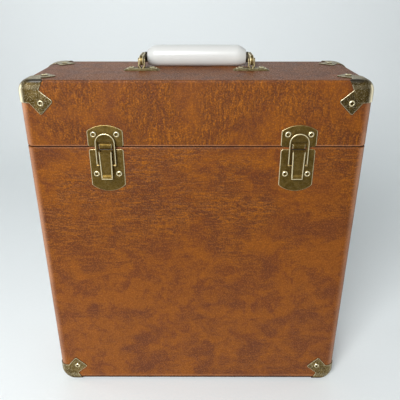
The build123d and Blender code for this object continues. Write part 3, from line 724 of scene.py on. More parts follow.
turn = np.linspace(0, np.pi / 2, 17)
bend = np.stack([FLOOR_BACK + BEND_RADIUS * np.sin(turn), BEND_RADIUS * (1 - np.cos(turn))], axis=1)
wall_end = [[FLOOR_BACK + BEND_RADIUS, WALL_TOP]]
profile = np.concatenate([[[FLOOR_FRONT, 0.0], [0.0, 0.0]], bend, wall_end])
across, back = np.meshgrid(np.linspace(-SWEEP_HALF, SWEEP_HALF, 9), profile[:, 0], indexing="ij")
rise = np.broadcast_to(profile[:, 1], back.shape)
points, faces, _ = net(np.stack([across, back, rise], axis=-1))
sweep_mesh = bpy.data.meshes.new("sweep")
sweep_mesh.from_pydata(points * MM, [], faces)
sweep_mesh.shade_smooth()
sweep_mesh.materials.append(paper)
sweep = bpy.data.objects.new("sweep", sweep_mesh)
bpy.context.scene.collection.objects.link(sweep)


# %% Lights
def soft_light(name, place, aim, size, power, colour):
    """A large flat lamp at a place, turned to face another."""
    data = bpy.data.lights.new(name, "AREA")
    data.shape = "RECTANGLE"
    data.size, data.size_y = size
    data.energy = power
    data.color = colour
    lamp = bpy.data.objects.new(name, data)
    lamp.location = place
    ray = np.array(aim) - np.array(place)
    tilt = math.acos(-ray[2] / np.linalg.norm(ray))
    lamp.rotation_euler = (tilt, 0.0, math.atan2(ray[1], ray[0]) - math.pi / 2)
    bpy.context.scene.collection.objects.link(lamp)


soft_light("front light", (-0.4, -1.2, 0.95), (0, 0, 0.10), (0.8, 0.6), 31.0, (0.98, 0.99, 1.0))
soft_light("left light", (-1.2, 0.25, 0.4), (-0.1, 0, 0.2), (0.3, 0.8), 2.0, (0.97, 0.99, 1.0))
soft_light("right light", (1.2, 0.25, 0.4), (0.1, 0, 0.2), (0.3, 0.8), 1.2, (0.97, 0.99, 1.0))
soft_light("wall light", (-0.2, 0.75, 1.35), (-0.1, 1.2, 1.25), (1.8, 0.4), 8.3, (0.95, 0.98, 1.0))
world = bpy.data.worlds.new("studio")
world.use_nodes = True
background = world.node_tree.nodes["Background"]
plug(world.node_tree, background, {"Color": (0.90, 0.96, 1.0, 1), "Strength": 0.14})
bpy.context.scene.world = world
print("lights:", [item.name for item in bpy.data.lights])

# %% [markdown]
# ## The covered halves
#
# Real covering is wrapped tightly round the boards, so every edge is round: 9.5 mm up the sides,
# 12 mm over the top and bottom side edges, and about 1 mm at the two rims where the halves meet.
# Level rings of one rounded rectangle follow that form from the inside of the rim to the middle of
# the far face, and a second set of rings just inside them closes the skin.

# %% Level rings of the case
UPRIGHT_RADIUS, SIDE_RADIUS, FACE_RADIUS, RIM_RADIUS = 9.5, 12.0, 2.0, 0.9
SKIN, BOARD = 0.8, 9.0
WALL_RINGS, CROWN_RINGS, END_RINGS = 24, 8, 8
# Heights and values of the foot's painted shadow band and the painted highlight line above it.
FOOT_TOP = 6.0
FOOT_LEVELS, FOOT_SHADE_AND_HIGHLIGHT = (0.0, 2.7, 3.6, 4.6, FOOT_TOP), (-0.9, -0.85, 0.0, 0.25, 0.0)


def rectangle_ring(half_x, half_y, corner, arc=8, straight=10):
    """Rounded rectangles, one a row: corner centre + corner * (cos, sin), joined by even steps."""
    half_x, half_y, corner = (np.asarray(v, float)[:, None] for v in (half_x, half_y, corner))
    turns = np.linspace(0, np.pi / 2, arc + 1)[None]
    pieces = []
    for quarter, (sx, sy) in enumerate(((1, 1), (-1, 1), (-1, -1), (1, -1))):
        angle = turns + quarter * np.pi / 2
        x = sx * (half_x - corner) + corner * np.cos(angle)
        y = sy * (half_y - corner) + corner * np.sin(angle)
        pieces.append(np.stack([x, y], axis=-1))
    share = np.linspace(0, 1, straight + 2)[1:-1][None, :, None]
    rows = []
    for piece, following in zip(pieces, pieces[1:] + pieces[:1]):
        rows += [piece, piece[:, -1:] * (1 - share) + following[:, :1] * share]
    return np.concatenate(rows, axis=1)


def form_rows(grow, drops):
    """Half width, half depth and corner radius of the case at drops below its grown end face.

    Below the edge radii the side is drawn in by R - sqrt(R^2 - (R - drop)^2), and so is the face.
    """
    side, face, corner = SIDE_RADIUS + grow, FACE_RADIUS + grow, UPRIGHT_RADIUS + grow
    side_rise = np.maximum(side - drops, 0)
    face_rise = np.maximum(face - drops, 0)
    side_draw = side - np.sqrt(np.maximum(side**2 - side_rise**2, 0))
    face_draw = face - np.sqrt(np.maximum(face**2 - face_rise**2, 0))
    return half_width + grow - side_draw, half_depth + grow - face_draw, corner - face_draw


def covered_half(rim_z, end_z):
    """The closed skin of one half: rim, rounded rim edge, wall, rounded end, then back inside.

    It carries a painted highlight up its corners, stronger towards the top, for the reflection
    of the floor, and painted shade in the seam and at the foot.
    """
    way = 1 if end_z > rim_z else -1
    height = abs(end_z - rim_z)
    inset, depth = quarter_round(RIM_RADIUS, 4)
    side_cap = SIDE_RADIUS * (1 - np.sin(np.linspace(0, np.pi / 2, 15)[1:]))
    face_cap = FACE_RADIUS * (1 - np.sin(np.linspace(0, np.pi / 2, 6)[1:-1]))
    wall = np.linspace(height - RIM_RADIUS - 1.0, SIDE_RADIUS, WALL_RINGS)
    wall = np.concatenate([wall, np.unique(np.concatenate([side_cap, face_cap]))[::-1]])
    inner_wall = np.linspace(0.0, SIDE_RADIUS - SKIN, 12)

    def rings(grow, drops, insets=0.0):
        x, y, corner = form_rows(grow, drops)
        return rectangle_ring(x - insets, y - insets, np.maximum(corner - insets, 0.05))

    outer, inner = rings(0, wall), rings(-SKIN, inner_wall)
    lip = rectangle_ring([half_width - SKIN - BOARD], [half_depth - SKIN - BOARD], [0.05])
    steps = [
        (lip, [height]),
        (rings(0, height - depth, inset), height - depth),
        (outer, wall),
        (outer[-1:] * np.linspace(1, 0, END_RINGS + 1)[1:, None, None], np.zeros(END_RINGS)),
        (inner[:1] * np.array([0.0, 0.5])[:, None, None], [SKIN, SKIN]),
        (inner, inner_wall + SKIN),
        (inner[-1:], [height - SKIN]),
        (lip, [height - SKIN]),
    ]
    flat, levels = (np.concatenate(each) for each in zip(*steps))
    z = np.broadcast_to((end_z - way * levels)[:, None], flat.shape[:2])
    points = np.stack([flat[..., 0], middle_y + flat[..., 1], z], axis=-1)

    x, y, corner = (v[:, None] for v in form_rows(0.0, levels))
    over_x = np.maximum(np.abs(flat[..., 0]) - x + corner, 0)
    over_y = np.maximum(np.abs(flat[..., 1]) - y + corner, 0)
    # Painted highlight up the upright corner edges, stronger towards the top: the floor's
    # reflection.
    painted_highlight = 0.45 + 0.4 * np.clip((z - base_z) / (top_z - base_z), 0, 1)
    wear_and_light = painted_highlight * np.sin(2 * np.arctan2(over_x, over_y)) ** 2
    first = 1 + len(depth)
    wear_and_light[first + WALL_RINGS + CROWN_RINGS :] = 0.0
    # The seam's rows carry painted shade; the lid's rim has a painted highlight, and the body's rim
    # painted shade under the lid.
    edge = (0.2, 0.4) if way > 0 else (-0.1, 0.15)
    wear_and_light[:first] = np.array([-1.0, -1.0, -0.9, -0.5, *edge])[:, None]
    # The foot carries a painted shadow band, with a painted highlight line just above it.
    if way < 0:
        foot = np.arange(first, first + len(wall))
        foot = foot[levels[foot] < FOOT_TOP]
        painted_shade = np.interp(levels[foot], FOOT_LEVELS, FOOT_SHADE_AND_HIGHLIGHT)
        wear_and_light[foot] = wear_and_light[foot] * (levels[foot] / FOOT_TOP)[:, None] + painted_shade[:, None]
    return [net(points, wear_and_light, round_rows=True, round_columns=True)]


# %% Body and lid skins
for half, rim_z, end_z, sheet, body in (
    ("body", body_rim_z, base_z, body_covering, "case_body"),
    ("lid", lid_rim_z, top_z, lid_covering, "lid"),
):
    shells = covered_half(rim_z, end_z)
    build_piece(f"{half}_skin", shells, body, f"{half}_covering", "covering", sheet, sharp=50.0)

# %% [markdown]
# ## Corner guards
#
# A guard is stamped from thin sheet and folded over the corner, and its three flaps follow the
# rounded edges beneath. Each flap is a star of rays from the case's sharp corner to the flap's
# outline. Every point is then drawn in towards the inside of the case until it meets the rounded
# form, which is what the press does to the sheet.

# %% Drawing points onto the rounded form
GUARD = 1.0
BAND, FRONT_BAND, FRONT_NOTCH = 22.0, 26.5, (21.5, 9.5)
REACH, FLAP_SIDE, TIP = 34.5, 20.5, 2.0
# Reach and strength of the guards' painted highlights, and strength of the painted shade in the
# fold.
HIGHLIGHT_REACH, CORNER_HIGHLIGHT, BAND_HIGHLIGHT, FOLD_SHADE = 11.0, 0.35, 0.30, 0.95


def outside_form(points, grow):
    """How far points lie outside the grown form; points are inward distances from its corner.

    At the point's level the form is a rounded rectangle, so past both corner centres the distance
    is that to the corner's circle, and elsewhere it is the larger of the two overhangs.
    """
    x, y, corner = form_rows(grow, points[..., 2] + grow)
    over_x = half_width - points[..., 0] - (x - corner)
    over_y = half_depth - points[..., 1] - (y - corner)
    past = np.hypot(np.maximum(over_x, 0), np.maximum(over_y, 0))
    below_end = -(points[..., 2] + grow)
    return np.maximum(np.maximum(past - corner, np.maximum(over_x, over_y) - corner), below_end)


def drawn_on(points, grow):
    """Moves points of the sharp corner onto the rounded form, towards the case's inside."""
    inner = np.maximum(points, SIDE_RADIUS)
    low, high = np.zeros(points.shape[:-1]), np.ones(points.shape[:-1])
    for _ in range(30):
        half_way = (low + high) / 2
        out = outside_form(inner + half_way[..., None] * (points - inner), grow) > 0
        low, high = np.where(out, low, half_way), np.where(out, half_way, high)
    return inner + low[..., None] * (points - inner)


# %% One flap, then eight guards
def even_steps(points, step):
    """An open run of points spaced evenly along its length."""
    so_far = np.concatenate([[0], np.cumsum(np.linalg.norm(np.diff(points, axis=0), axis=1))])
    at = np.linspace(0, so_far[-1], int(math.ceil(so_far[-1] / step)) + 1)
    return np.stack([np.interp(at, so_far, points[:, k]) for k in (0, 1)], axis=1)


def flap_run(first_band, first_notch, second_notch):
    """The free edge of a flap, from the end of its first band to the end of its second."""
    first, last, hidden = (first_band, -GUARD), (-GUARD, BAND), (-GUARD, -GUARD)
    tips = [(REACH, FLAP_SIDE), (FLAP_SIDE, REACH)]
    corners = [first, first_notch, *tips, second_notch, last, hidden]
    closed = rounded(corners, [0, 0.8, TIP, TIP, 0.8, 0, 0], steps=5)
    start = np.argmin(np.linalg.norm(closed - np.array(first), axis=1))
    run = np.roll(closed, -start, axis=0)
    return even_steps(run[np.linalg.norm(run - np.array(hidden), axis=1) > 1e-6], 0.7)


def flap_rings(run):
    """Plan points, heights above the leather and brightness of a flap, from its corner to its rim.

    A ring's plan point is corner + share * (rim - corner), less an inset near the rim.
    """
    along = np.gradient(run, axis=0)
    along /= np.linalg.norm(along, axis=1, keepdims=True)
    out = np.stack([along[:, 1], -along[:, 0]], axis=1)
    out[0], out[-1] = (1, 0), (0, 1)
    rows = [(share, 1.1, GUARD, 0.0) for share in np.linspace(0, 1, 14)]
    # The rim is polished; the last rows, at its foot, carry a painted shadow round the guard.
    rows += [(1, 0.75, GUARD, 0.2), (1, 0.45, 0.99, 0.55), (1, 0.25, 0.93, 0.55)]
    rows += [(1, 0.1, 0.8, 0.2), (1, 0.02, 0.6, -0.6), (1, 0.0, 0.3, -1.0), (1, 0, 0, -1.0)]
    rows += [(share, 0, 0, 0) for share in (0.66, 0.33, 0.0)]
    share, inset, level, wear_and_light = (np.array(c, float)[:, None, None] for c in zip(*rows))
    corner = -level
    rim = np.maximum(run[None] - out[None] * inset, corner)
    return corner + share * (rim - corner), level[..., 0], wear_and_light[..., 0]


def guard_shells(upright_highlight):
    """The three flaps of one guard as inward distances (x, y, z) from the case's corner.

    A guard carries a painted highlight where it turns round the upright edge, a painted reflection
    of the floor, and at its corner and along its end band; painted shade runs along the ridge of
    the fold between its end and the front or back.
    """
    upright_notch, edge_notch = (UPRIGHT_RADIUS + 1, BAND), SIDE_RADIUS + 1.0
    flaps = (
        (flap_run(FRONT_BAND, FRONT_NOTCH, upright_notch), (0, 2, 1)),
        (flap_run(BAND, (BAND, edge_notch), upright_notch), (2, 0, 1)),
        (flap_run(FRONT_BAND, FRONT_NOTCH, (edge_notch, BAND)), (0, 1, 2)),
    )
    shells = []
    for run, order in flaps:
        plan, level, wear_and_light = flap_rings(run)
        sharp = np.stack([plan[..., 0], plan[..., 1], np.broadcast_to(-level, plan.shape[:2])], -1)
        rows = zip(sharp[..., order], level)
        placed = np.stack([drawn_on(row, float(grow[0])) for row, grow in rows])
        x, y, z = np.moveaxis(placed, -1, 0)
        # Painted highlights: the floor's reflection up the upright edge, and light over the corner
        # and end band.
        turned_by = np.arctan2(*(np.maximum(UPRIGHT_RADIUS - v, 0) for v in (x, y)))
        upright = np.sin(2 * turned_by) ** 2 * np.clip((z - 1.5) / 4.0, 0, 1)
        over = CORNER_HIGHLIGHT * np.clip(1 - (x + z + 2) / HIGHLIGHT_REACH, 0, 1)
        band = BAND_HIGHLIGHT * np.clip((HIGHLIGHT_REACH - z) / 3.0, 0, 1)
        glow = np.maximum(upright_highlight * upright, np.maximum(over, band))
        glow = np.where(wear_and_light < 0, wear_and_light, np.maximum(wear_and_light, np.where(level > 0.5, glow, 0.0)))
        # Painted shade along the fold's ridge, away from the upright edge.
        ridge = np.clip(1.35 - (y + z + 1) / 3.0, 0, 1) * (1 - upright)
        shells.append((placed, glow * (1 - ridge) - FOLD_SHADE * ridge))
    return shells


# The bottom guards carry a weaker painted highlight up their upright edge.
for height, z, up, upright_highlight, body in (
    ("bottom", base_z, 1, 0.35, "case_body"),
    ("top", top_z, -1, 0.8, "lid"),
):
    flaps = guard_shells(upright_highlight)
    for depth, y, back in (("front", front_y, 1), ("back", back_y, -1)):
        for side, x, right in zip(SIDES, (-half_width, half_width), (1, -1)):
            corner, ways = np.array([x, y, z]), np.array([right, back, up])
            shells = [net(corner + ways * placed, wear_and_light) for placed, wear_and_light in flaps]
            name, node = f"{height}_{depth}_{side}_guard", f"guard_{height}_{depth}_{side}"
            build_piece(name, shells, body, node, "guard")

# %% [markdown]
# ## Tubular rivets
#
# Each rivet is a small tube whose head was rolled over: a low ring with an open hole in its
# middle. It is a turned profile; the crown of the ring is polished and carries a painted
# highlight, and the hole and the foot of the head carry painted shade.

# %% Rivets
HEAD, HEAD_HEIGHT, HOLE, HOLE_DEPTH, SHANK, SHANK_DEPTH = 3.5, 1.3, 1.45, 1.7, 1.8, 7.0
GUARD_RIVET = 22.0
# Rows of radius, height and brightness: painted shade in the hole and at the head's foot, polish
# and a painted highlight on the crown.
rivet_rows = (
    (0, -HOLE_DEPTH, -1), (HOLE, -HOLE_DEPTH, -1), (HOLE, 0.7, -1), (1.52, 1.0, -0.9),
    (1.7, 1.22, 0.3), (1.98, HEAD_HEIGHT, 0.9), (2.3, 1.24, 0.95), (2.65, 1.02, 0.9),
    (2.95, 0.72, 0.7), (3.2, 0.42, 0.2), (HEAD, 0.22, -0.5), (HEAD, 0.0, -0.6),
    (SHANK, 0.0, 0), (SHANK, -SHANK_DEPTH, 0), (0, -SHANK_DEPTH, 0),
)
rivet_profile, rivet_wear_and_light = [row[:2] for row in rivet_rows], [row[2] for row in rivet_rows]


def guard_rivets(end_z, way):
    """Seats and directions of the rivets on the four guards at one end."""
    seats, axes = [], []
    level = end_z - way * GUARD_RIVET
    for side in (-1, 1):
        x = side * (half_width - GUARD_RIVET)
        for y, out in ((front_y, -1), (back_y, 1)):
            near = y - out * GUARD_RIVET
            seats += [(x, y + out * GUARD, level), (side * (half_width + GUARD), near, level)]
            seats += [(x, near, end_z + way * GUARD)]
            axes += [(0, out, 0), (side, 0, 0), (0, 0, way)]
    return seats, axes


def paired(centres, spread, y, rise, out):
    """Seats of two rivets about each centre on the front or the back."""
    seats = [(x + step, y, seam_z + rise) for x in centres for step in (-spread, spread)]
    return seats, [(0, out, 0)] * len(seats)


def centres(kind):
    """Where the left and the right node of a kind stand along X."""
    return [float(middle(f"{kind}_{side}")[0]) for side in SIDES]


PLATE = 1.2
LATCH_SPREAD, BASE_RIVET, STRIKE_RIVET = 11.7, -29.0, 13.5
HINGE_SPREAD, LEAF_RIVET, HANDLE_SPREAD, HANDLE_RAISED = 10.0, 13.5, 11.0, 2.0
latch_x, hinge_x, handle_x = centres("latch_base"), centres("hinge_pin"), centres("handle_plate")
front, back = front_y - PLATE, back_y + PLATE
handle_seats = [
    (x + step, middle_y, top_z + HANDLE_RAISED)
    for x in handle_x
    for step in (-HANDLE_SPREAD, HANDLE_SPREAD)
]
rivet_groups = {
    "body_guard_rivets": ("case_body", *guard_rivets(base_z, -1)),
    "lid_guard_rivets": ("lid", *guard_rivets(top_z, 1)),
    "latch_base_rivets": ("case_body", *paired(latch_x, LATCH_SPREAD, front, BASE_RIVET, -1)),
    "latch_strike_rivets": ("lid", *paired(latch_x, LATCH_SPREAD, front, STRIKE_RIVET, -1)),
    "hinge_body_rivets": ("case_body", *paired(hinge_x, HINGE_SPREAD, back, -LEAF_RIVET, 1)),
    "hinge_lid_rivets": ("lid", *paired(hinge_x, HINGE_SPREAD, back, LEAF_RIVET, 1)),
    "handle_plate_rivets": ("lid", handle_seats, [(0, 0, 1)] * len(handle_seats)),
}
for name, (body, seats, axes) in rivet_groups.items():
    shells = turned(rivet_profile, rivet_wear_and_light, seats, axes)
    build_piece(name.replace("_rivets", "_rivet_heads"), shells, body, name, "rivet")

# %% [markdown]
# ## Latch plates, hook and ears
#
# Each draw latch has two thick pressed plates with an arched far end. The strike plate on the lid
# carries a hook bent out of its lower edge, and the base plate on the body carries two ears that
# hold the lever's pin.

# %% Plates
BEVEL, PLATE_CORNER = 0.5, 2.5


def plate_outline(width, near, shoulder, crown):
    """Straight sides, a straight near edge and an arc at the far end, with rounded corners."""
    half = width / 2
    arch = arc_between((half, shoulder), (0, crown), (-half, shoulder), 14)
    near_edge = [(u, near) for u in (-half, -10.0, -9.2, 9.2, 10.0, half)]
    corners = np.concatenate([near_edge, [(half, shoulder)], arch, [(-half, shoulder)]])
    radii = [PLATE_CORNER, 0.0, 0.0, 0.0, 0.0, PLATE_CORNER, PLATE_CORNER]
    return rounded(corners, radii + [0.0] * len(arch) + [PLATE_CORNER])


HOOK_FRONT, HOOK_DROP, HOOK_RISE, HOOK_SHEET, HOOK_HALF = 3.7, -1.4, 3.5, 1.1, 6.3
hook_back = HOOK_FRONT - HOOK_SHEET
hook_outline = rounded(
    [
        (0.5, 3.0), (0.5, HOOK_DROP), (HOOK_FRONT, HOOK_DROP), (HOOK_FRONT, HOOK_RISE),
        (hook_back, HOOK_RISE), (hook_back, HOOK_DROP + HOOK_SHEET),
        (PLATE, HOOK_DROP + HOOK_SHEET), (PLATE, 3.0),
    ],
    [0.0, 0.6, 0.9, 0.5, 0.5, 0.2, 0.2, 0.0],
)
EAR_SHEET, EAR_LEFT, EAR_RIGHT = 1.0, -4.98, 3.98
ear_outline = rounded(
    [(5.0, -4.0), (0.6, -5.5), (0.6, -11.5), (6.5, -6.6), (6.5, -4.0)], [0.6, 0.2, 0.2, 1.0, 1.2]
)
strike_outline = plate_outline(width=36.4, near=0.4, shoulder=17.0, crown=23.0)
base_outline = plate_outline(width=35.5, near=-2.4, shoulder=-41.9, crown=-48.8)
rim_wear_and_light = {"wear_and_light": 0.95, "fade": 0.7}
GAP_SHADE_HALF, GAP_SHADE_DEEP, GAP_SHADE = 9.5, 3.4, -0.9
for side, x in zip(SIDES, latch_x):
    strike = prism(strike_outline, 0.0, PLATE, BEVEL, at_front(x), level_wear_and_light=0.35, **rim_wear_and_light)
    shells = [strike, prism(hook_outline, -HOOK_HALF, HOOK_HALF, 0.28, beside_latch(x))]
    name, node = f"latch_strike_plate_{side}", f"latch_strike_{side}"
    build_piece(name, shells, "lid", node, "latch")

    # The base plate's near edge carries painted shade between the ears, under the hook and lever.
    base = prism(base_outline, 0.0, PLATE, BEVEL, at_front(x), level_wear_and_light=0.5, **rim_wear_and_light)
    points, _, wear_and_light = base
    hidden = (np.abs(points[:, 0] - x) < GAP_SHADE_HALF) & (points[:, 2] > seam_z - GAP_SHADE_DEEP)
    wear_and_light[hidden] = GAP_SHADE
    shells = [base]
    for low in (EAR_LEFT, EAR_RIGHT):
        shells += [prism(ear_outline, low, low + EAR_SHEET, 0.15, beside_latch(x), fade=0.04)]
    name, node = f"latch_base_plate_{side}", f"latch_base_{side}"
    build_piece(name, shells, "case_body", node, "latch")

# %% [markdown]
# ## Levers
#
# The lever is sheet folded into a channel: a web in front, a wall down each side, and a lip that
# flares out for the thumb. Its section is one closed line, and two rails, the front and the back
# of the lever seen from the side, carry that section from the round pivot end to the lip.

# %% Lever
LEVER_TOP, LEVER_FOOT, LIP_RISE, LIP_BACK_RISE = -2.0, -33.0, -29.8, -28.7
PIVOT_OUT, PIVOT_RISE, END_RADIUS = 5.0, -5.5, 3.5
LEVER_FRONT, LEVER_BACK, LIP_OUT, LEVER_WALL = 7.8, 2.4, 8.3, 1.1
LEVER_TOP_HALF, LEVER_FOOT_HALF = 6.6, 5.85


def lever_rails(count=26):
    """Front and back of the lever from the side, as (out, rise) at matching stations."""
    front_limit = math.acos((LEVER_FRONT - PIVOT_OUT) / END_RADIUS)
    angle = np.linspace(math.radians(80), front_limit, 7)
    reach, end_rise = END_RADIUS * np.cos(angle), PIVOT_RISE + END_RADIUS * np.sin(angle)
    rise = np.linspace(end_rise[-1], LIP_RISE, count)[1:]
    share = np.linspace(0, 1, 9)[1:]
    front = [
        (PIVOT_OUT + reach, end_rise),
        (np.full(len(rise), LEVER_FRONT), rise),
        (
            LEVER_FRONT + share**1.15 * (LIP_OUT - LEVER_FRONT),
            LIP_RISE + share * (LEVER_FOOT - LIP_RISE),
        ),
    ]
    back = [
        (np.maximum(PIVOT_OUT - reach, LEVER_BACK), end_rise),
        (np.full(len(rise), LEVER_BACK), np.maximum(rise, LIP_BACK_RISE)),
        (
            LEVER_BACK + np.sqrt(share) * (LIP_OUT - LEVER_WALL - LEVER_BACK),
            LIP_BACK_RISE + share * (LEVER_FOOT - LIP_BACK_RISE),
        ),
    ]
    return np.concatenate(front, axis=1).T, np.concatenate(back, axis=1).T


def lever_section():
    """The closed section: (side, inset from the side, distance behind the front, polish).

    A distance of None stands for the lever's back.
    """
    half = [
        (0.0, None, 0.1), (0.0, 3.0, 0.0), (0.0, 1.2, 0.1), (0.0, 0.6, 0.7),
        (0.1, 0.28, 1.0), (0.3, 0.08, 1.0), (0.6, 0.0, 1.0), (0.95, 0.04, 0.8),
        (1.15, 0.2, 0.3), (1.35, 0.42, 0.0), (1.8, 0.5, 0.0), (3.6, 0.5, 0.0),
        (5.2, 0.5, 0.0),
    ]
    inner = [
        (5.2, LEVER_WALL, 0.0), (LEVER_WALL + 0.3, LEVER_WALL, 0.0),
        (LEVER_WALL, LEVER_WALL + 0.3, 0.0), (LEVER_WALL, 3.0, 0.0),
        (LEVER_WALL, None, 0.1),
    ]
    loop = [(-1, *row) for row in half] + [(1, *row) for row in half[::-1]]
    return loop + [(1, *row) for row in inner[::-1]] + [(-1, *row) for row in inner]


def lever_shell(x):
    """The lever: each section point lies between the two rails, at the section's own width."""
    front, back = lever_rails()
    rise = front[:, 1:]
    sign, inset, behind, glow = zip(*lever_section())
    sign, inset, glow = (np.array(column, float) for column in (sign, inset, glow))
    far = np.array([each is None for each in behind])
    behind = np.array([each or 0.0 for each in behind])
    gap = np.linalg.norm(back - front, axis=1)[:, None]
    narrowed = (LEVER_TOP - rise) / (LEVER_TOP - LEVER_FOOT)
    half = LEVER_TOP_HALF + narrowed * (LEVER_FOOT_HALF - LEVER_TOP_HALF)
    share = np.where(far, 1.0, np.minimum(behind / gap, 1.0))
    # The recess of the web fades out at the pivot end and at the lip, where the sheet is plain.
    level = np.clip((rise - LIP_RISE) / 1.2, 0, 1) * np.clip((-3.2 - rise) / 0.8, 0, 1)
    share = np.where((inset > 1.0) & (behind <= 0.5) & ~far, share * level, share)
    side_view = front[:, None] + share[..., None] * (back - front)[:, None]
    u = sign * np.maximum(half - inset, 0.0)
    # The web begins where the front is straight; above it the two walls stand alone by the ears.
    start = int(np.argmax(front[:, 0] >= LEVER_FRONT - 1e-6))
    web = inset > LEVER_WALL + 0.2
    side_view[:start, web] = side_view[start, web]
    u[:start, web] = u[start, web]
    # The lip's face carries painted shade and its end is bright, and the polish is weaker beside
    # the pivot.
    lip = np.clip((LIP_RISE - 1.9 - rise) / 1.0, 0, 1)
    end = np.clip((LEVER_FOOT + 0.75 - rise) / 0.35, 0, 1)
    facing = (behind <= 1.2) & ~far
    worn_and_lit = np.maximum(glow * (1 - lip) - 0.7 * lip, 0.9 * end)
    glow = np.where(facing, worn_and_lit, glow) * np.clip((-2.4 - rise) / 2.0, 0.35, 1)
    points = beside_latch(x)(side_view[..., 0], side_view[..., 1], u)
    return capped(net(points, glow, round_columns=True), *points.shape[:2])


for side, x in zip(SIDES, latch_x):
    name, node = f"latch_thumb_lever_{side}", f"latch_lever_{side}"
    build_piece(name, [lever_shell(x)], f"lever_{side}", node, "latch")

# %% [markdown]
# ## Bails
#
# The bail is a stamped loop. Its crown is dished like a spoon and keeps a raised rim, and its two
# legs run down beside the lever to their pin. The outer line of the loop and its inner line are
# matched point by point, and the section between them has a bead, a hollow and a lower inner edge.

# %% Bail
BAIL_HALF, BAIL_LEG, BAIL_BACK, BAIL_SHEET = 10.1, 2.4, 4.0, 1.5
ARCH_RISE, WINDOW_RISE, EYE_RISE, EYE_OUT = 5.1, 6.3, -18.7, 4.6
EYE_HALF, EYE_RUB = 1.6, 0.3


def bail_line(half, shoulder, crown):
    """One edge of the loop: up a leg, over a half ellipse and down the other leg."""
    legs = np.linspace(EYE_RISE, shoulder, 16)[:-1]
    angle = np.linspace(0, np.pi, 41)
    u = [np.full(len(legs), half), half * np.cos(angle), np.full(len(legs), -half)]
    v = [legs, shoulder + crown * np.sin(angle), legs[::-1]]
    return np.stack([np.concatenate(u), np.concatenate(v)], axis=1)


def bail_shell(x):
    """The loop of the bail as a closed section carried from one leg over the crown to the other.

    Rows of the section: distance in from an edge, height over the back, brightness, and 1 where
    that edge is the inner one. The bead is polished, and the hollow and the inner edge carry
    painted shade.
    """
    outer = bail_line(BAIL_HALF, ARCH_RISE, BAIL_HALF)
    inner = bail_line(BAIL_HALF - BAIL_LEG, WINDOW_RISE, 0.0)
    face = BAIL_SHEET
    rows = [
        (0.25, 0.0, 0.0, 0), (0.0, 0.25, 0.1, 0), (0.0, face - 0.45, 0.4, 0),
        (0.12, face - 0.14, 1.0, 0), (0.4, face, 1.0, 0), (0.8, face - 0.02, 0.8, 0),
        (1.1, face - 0.18, 0.2, 0), (1.35, face - 0.45, -0.25, 0),
        (1.7, face - 0.55, 0.0, 0), (1.5, face - 0.55, 0.0, 1), (0.8, face - 0.62, -0.3, 1),
        (0.3, face - 0.75, -0.4, 1), (0.0, face - 1.0, -0.5, 1), (0.0, 0.25, 0.0, 1),
        (0.25, 0.0, 0.0, 1),
    ]
    distance, height, wear_and_light, from_inner = (np.array(c, float)[None] for c in zip(*rows))
    share = distance / np.linalg.norm(inner - outer, axis=1)[:, None]
    share = np.where(from_inner > 0, np.maximum(1 - share, 0.6), np.minimum(share, 0.62))
    flat = outer[:, None] + share[..., None] * (inner - outer)[:, None]
    out = np.broadcast_to(BAIL_BACK + height, flat.shape[:2])
    points = at_front(x)(flat[..., 0], flat[..., 1], out)
    return capped(net(points, wear_and_light, round_columns=True), *points.shape[:2])


square = np.array([(-1, -1), (1, -1), (1, 1), (-1, 1)])
eye_outline = rounded(np.array([EYE_OUT, EYE_RISE]) + EYE_HALF * square, EYE_HALF - 0.01)
for side, x in zip(SIDES, latch_x):
    shells = [bail_shell(x)]
    for low in (-BAIL_HALF, BAIL_HALF - BAIL_LEG):
        high = low + BAIL_LEG
        points, faces, wear_and_light = prism(eye_outline, low, high, 0.3, beside_latch(x), fade=0.05)
        shells.append((points, faces, np.full(len(wear_and_light), EYE_RUB)))
    name, node = f"latch_loop_{side}", f"latch_bail_{side}"
    build_piece(name, shells, f"bail_{side}", node, "latch")


# %% [markdown]
# ## Pins
#
# The latch and hinge pins are plain wire, rounded where the cutter left them and polished by use.


# %% Pins
def pin_profile(radius, half_length, edge=0.25):
    """A rod from end to end of its axis, with rounded rims."""
    inset, depth = quarter_round(edge)
    left = np.stack([radius - inset, -half_length + depth], axis=1)
    right = np.stack([radius - inset, half_length - depth], axis=1)[::-1]
    return np.concatenate([[(0, -half_length)], left, right, [(0, half_length)]])


def bar(centre, radius, half_length, wear_and_light, edge=0.25, count=28):
    """A rod along X about a centre."""
    return turned(pin_profile(radius, half_length, edge), wear_and_light, [centre], (1.0, 0.0, 0.0), count)


for side in SIDES:
    for name, kind, radius, slot in (
        ("lever_pin", "latch_lever_pin", 0.9, "latch"),
        ("loop_pin", "latch_bail_pin", 0.8, "latch"),
        ("hinge_rod", "hinge_pin", 1.3, "hinge"),
    ):
        node = f"{kind}_{side}"
        shells = bar(middle(node), radius, length(node) / 2, 0.05, count=24)
        build_piece(f"{name}_{side}", shells, frame["nodes"][node]["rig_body"], node, slot)

# %% [markdown]
# ## Hinges
#
# Two butt hinges join the halves at the back. Each leaf is a flat plate with notches where the
# other leaf's knuckles pass, and the knuckles are rolled tubes round the rod.

# %% Hinge leaves
LEAF_HALF, LEAF_HEIGHT, KNUCKLE, AXIS_OUT, KNUCKLE_GAP = 17.0, 21.0, 2.5, 2.8, 0.3
KNUCKLE_SPAN = 2 * LEAF_HALF / 3
NOTCH = KNUCKLE + KNUCKLE_GAP


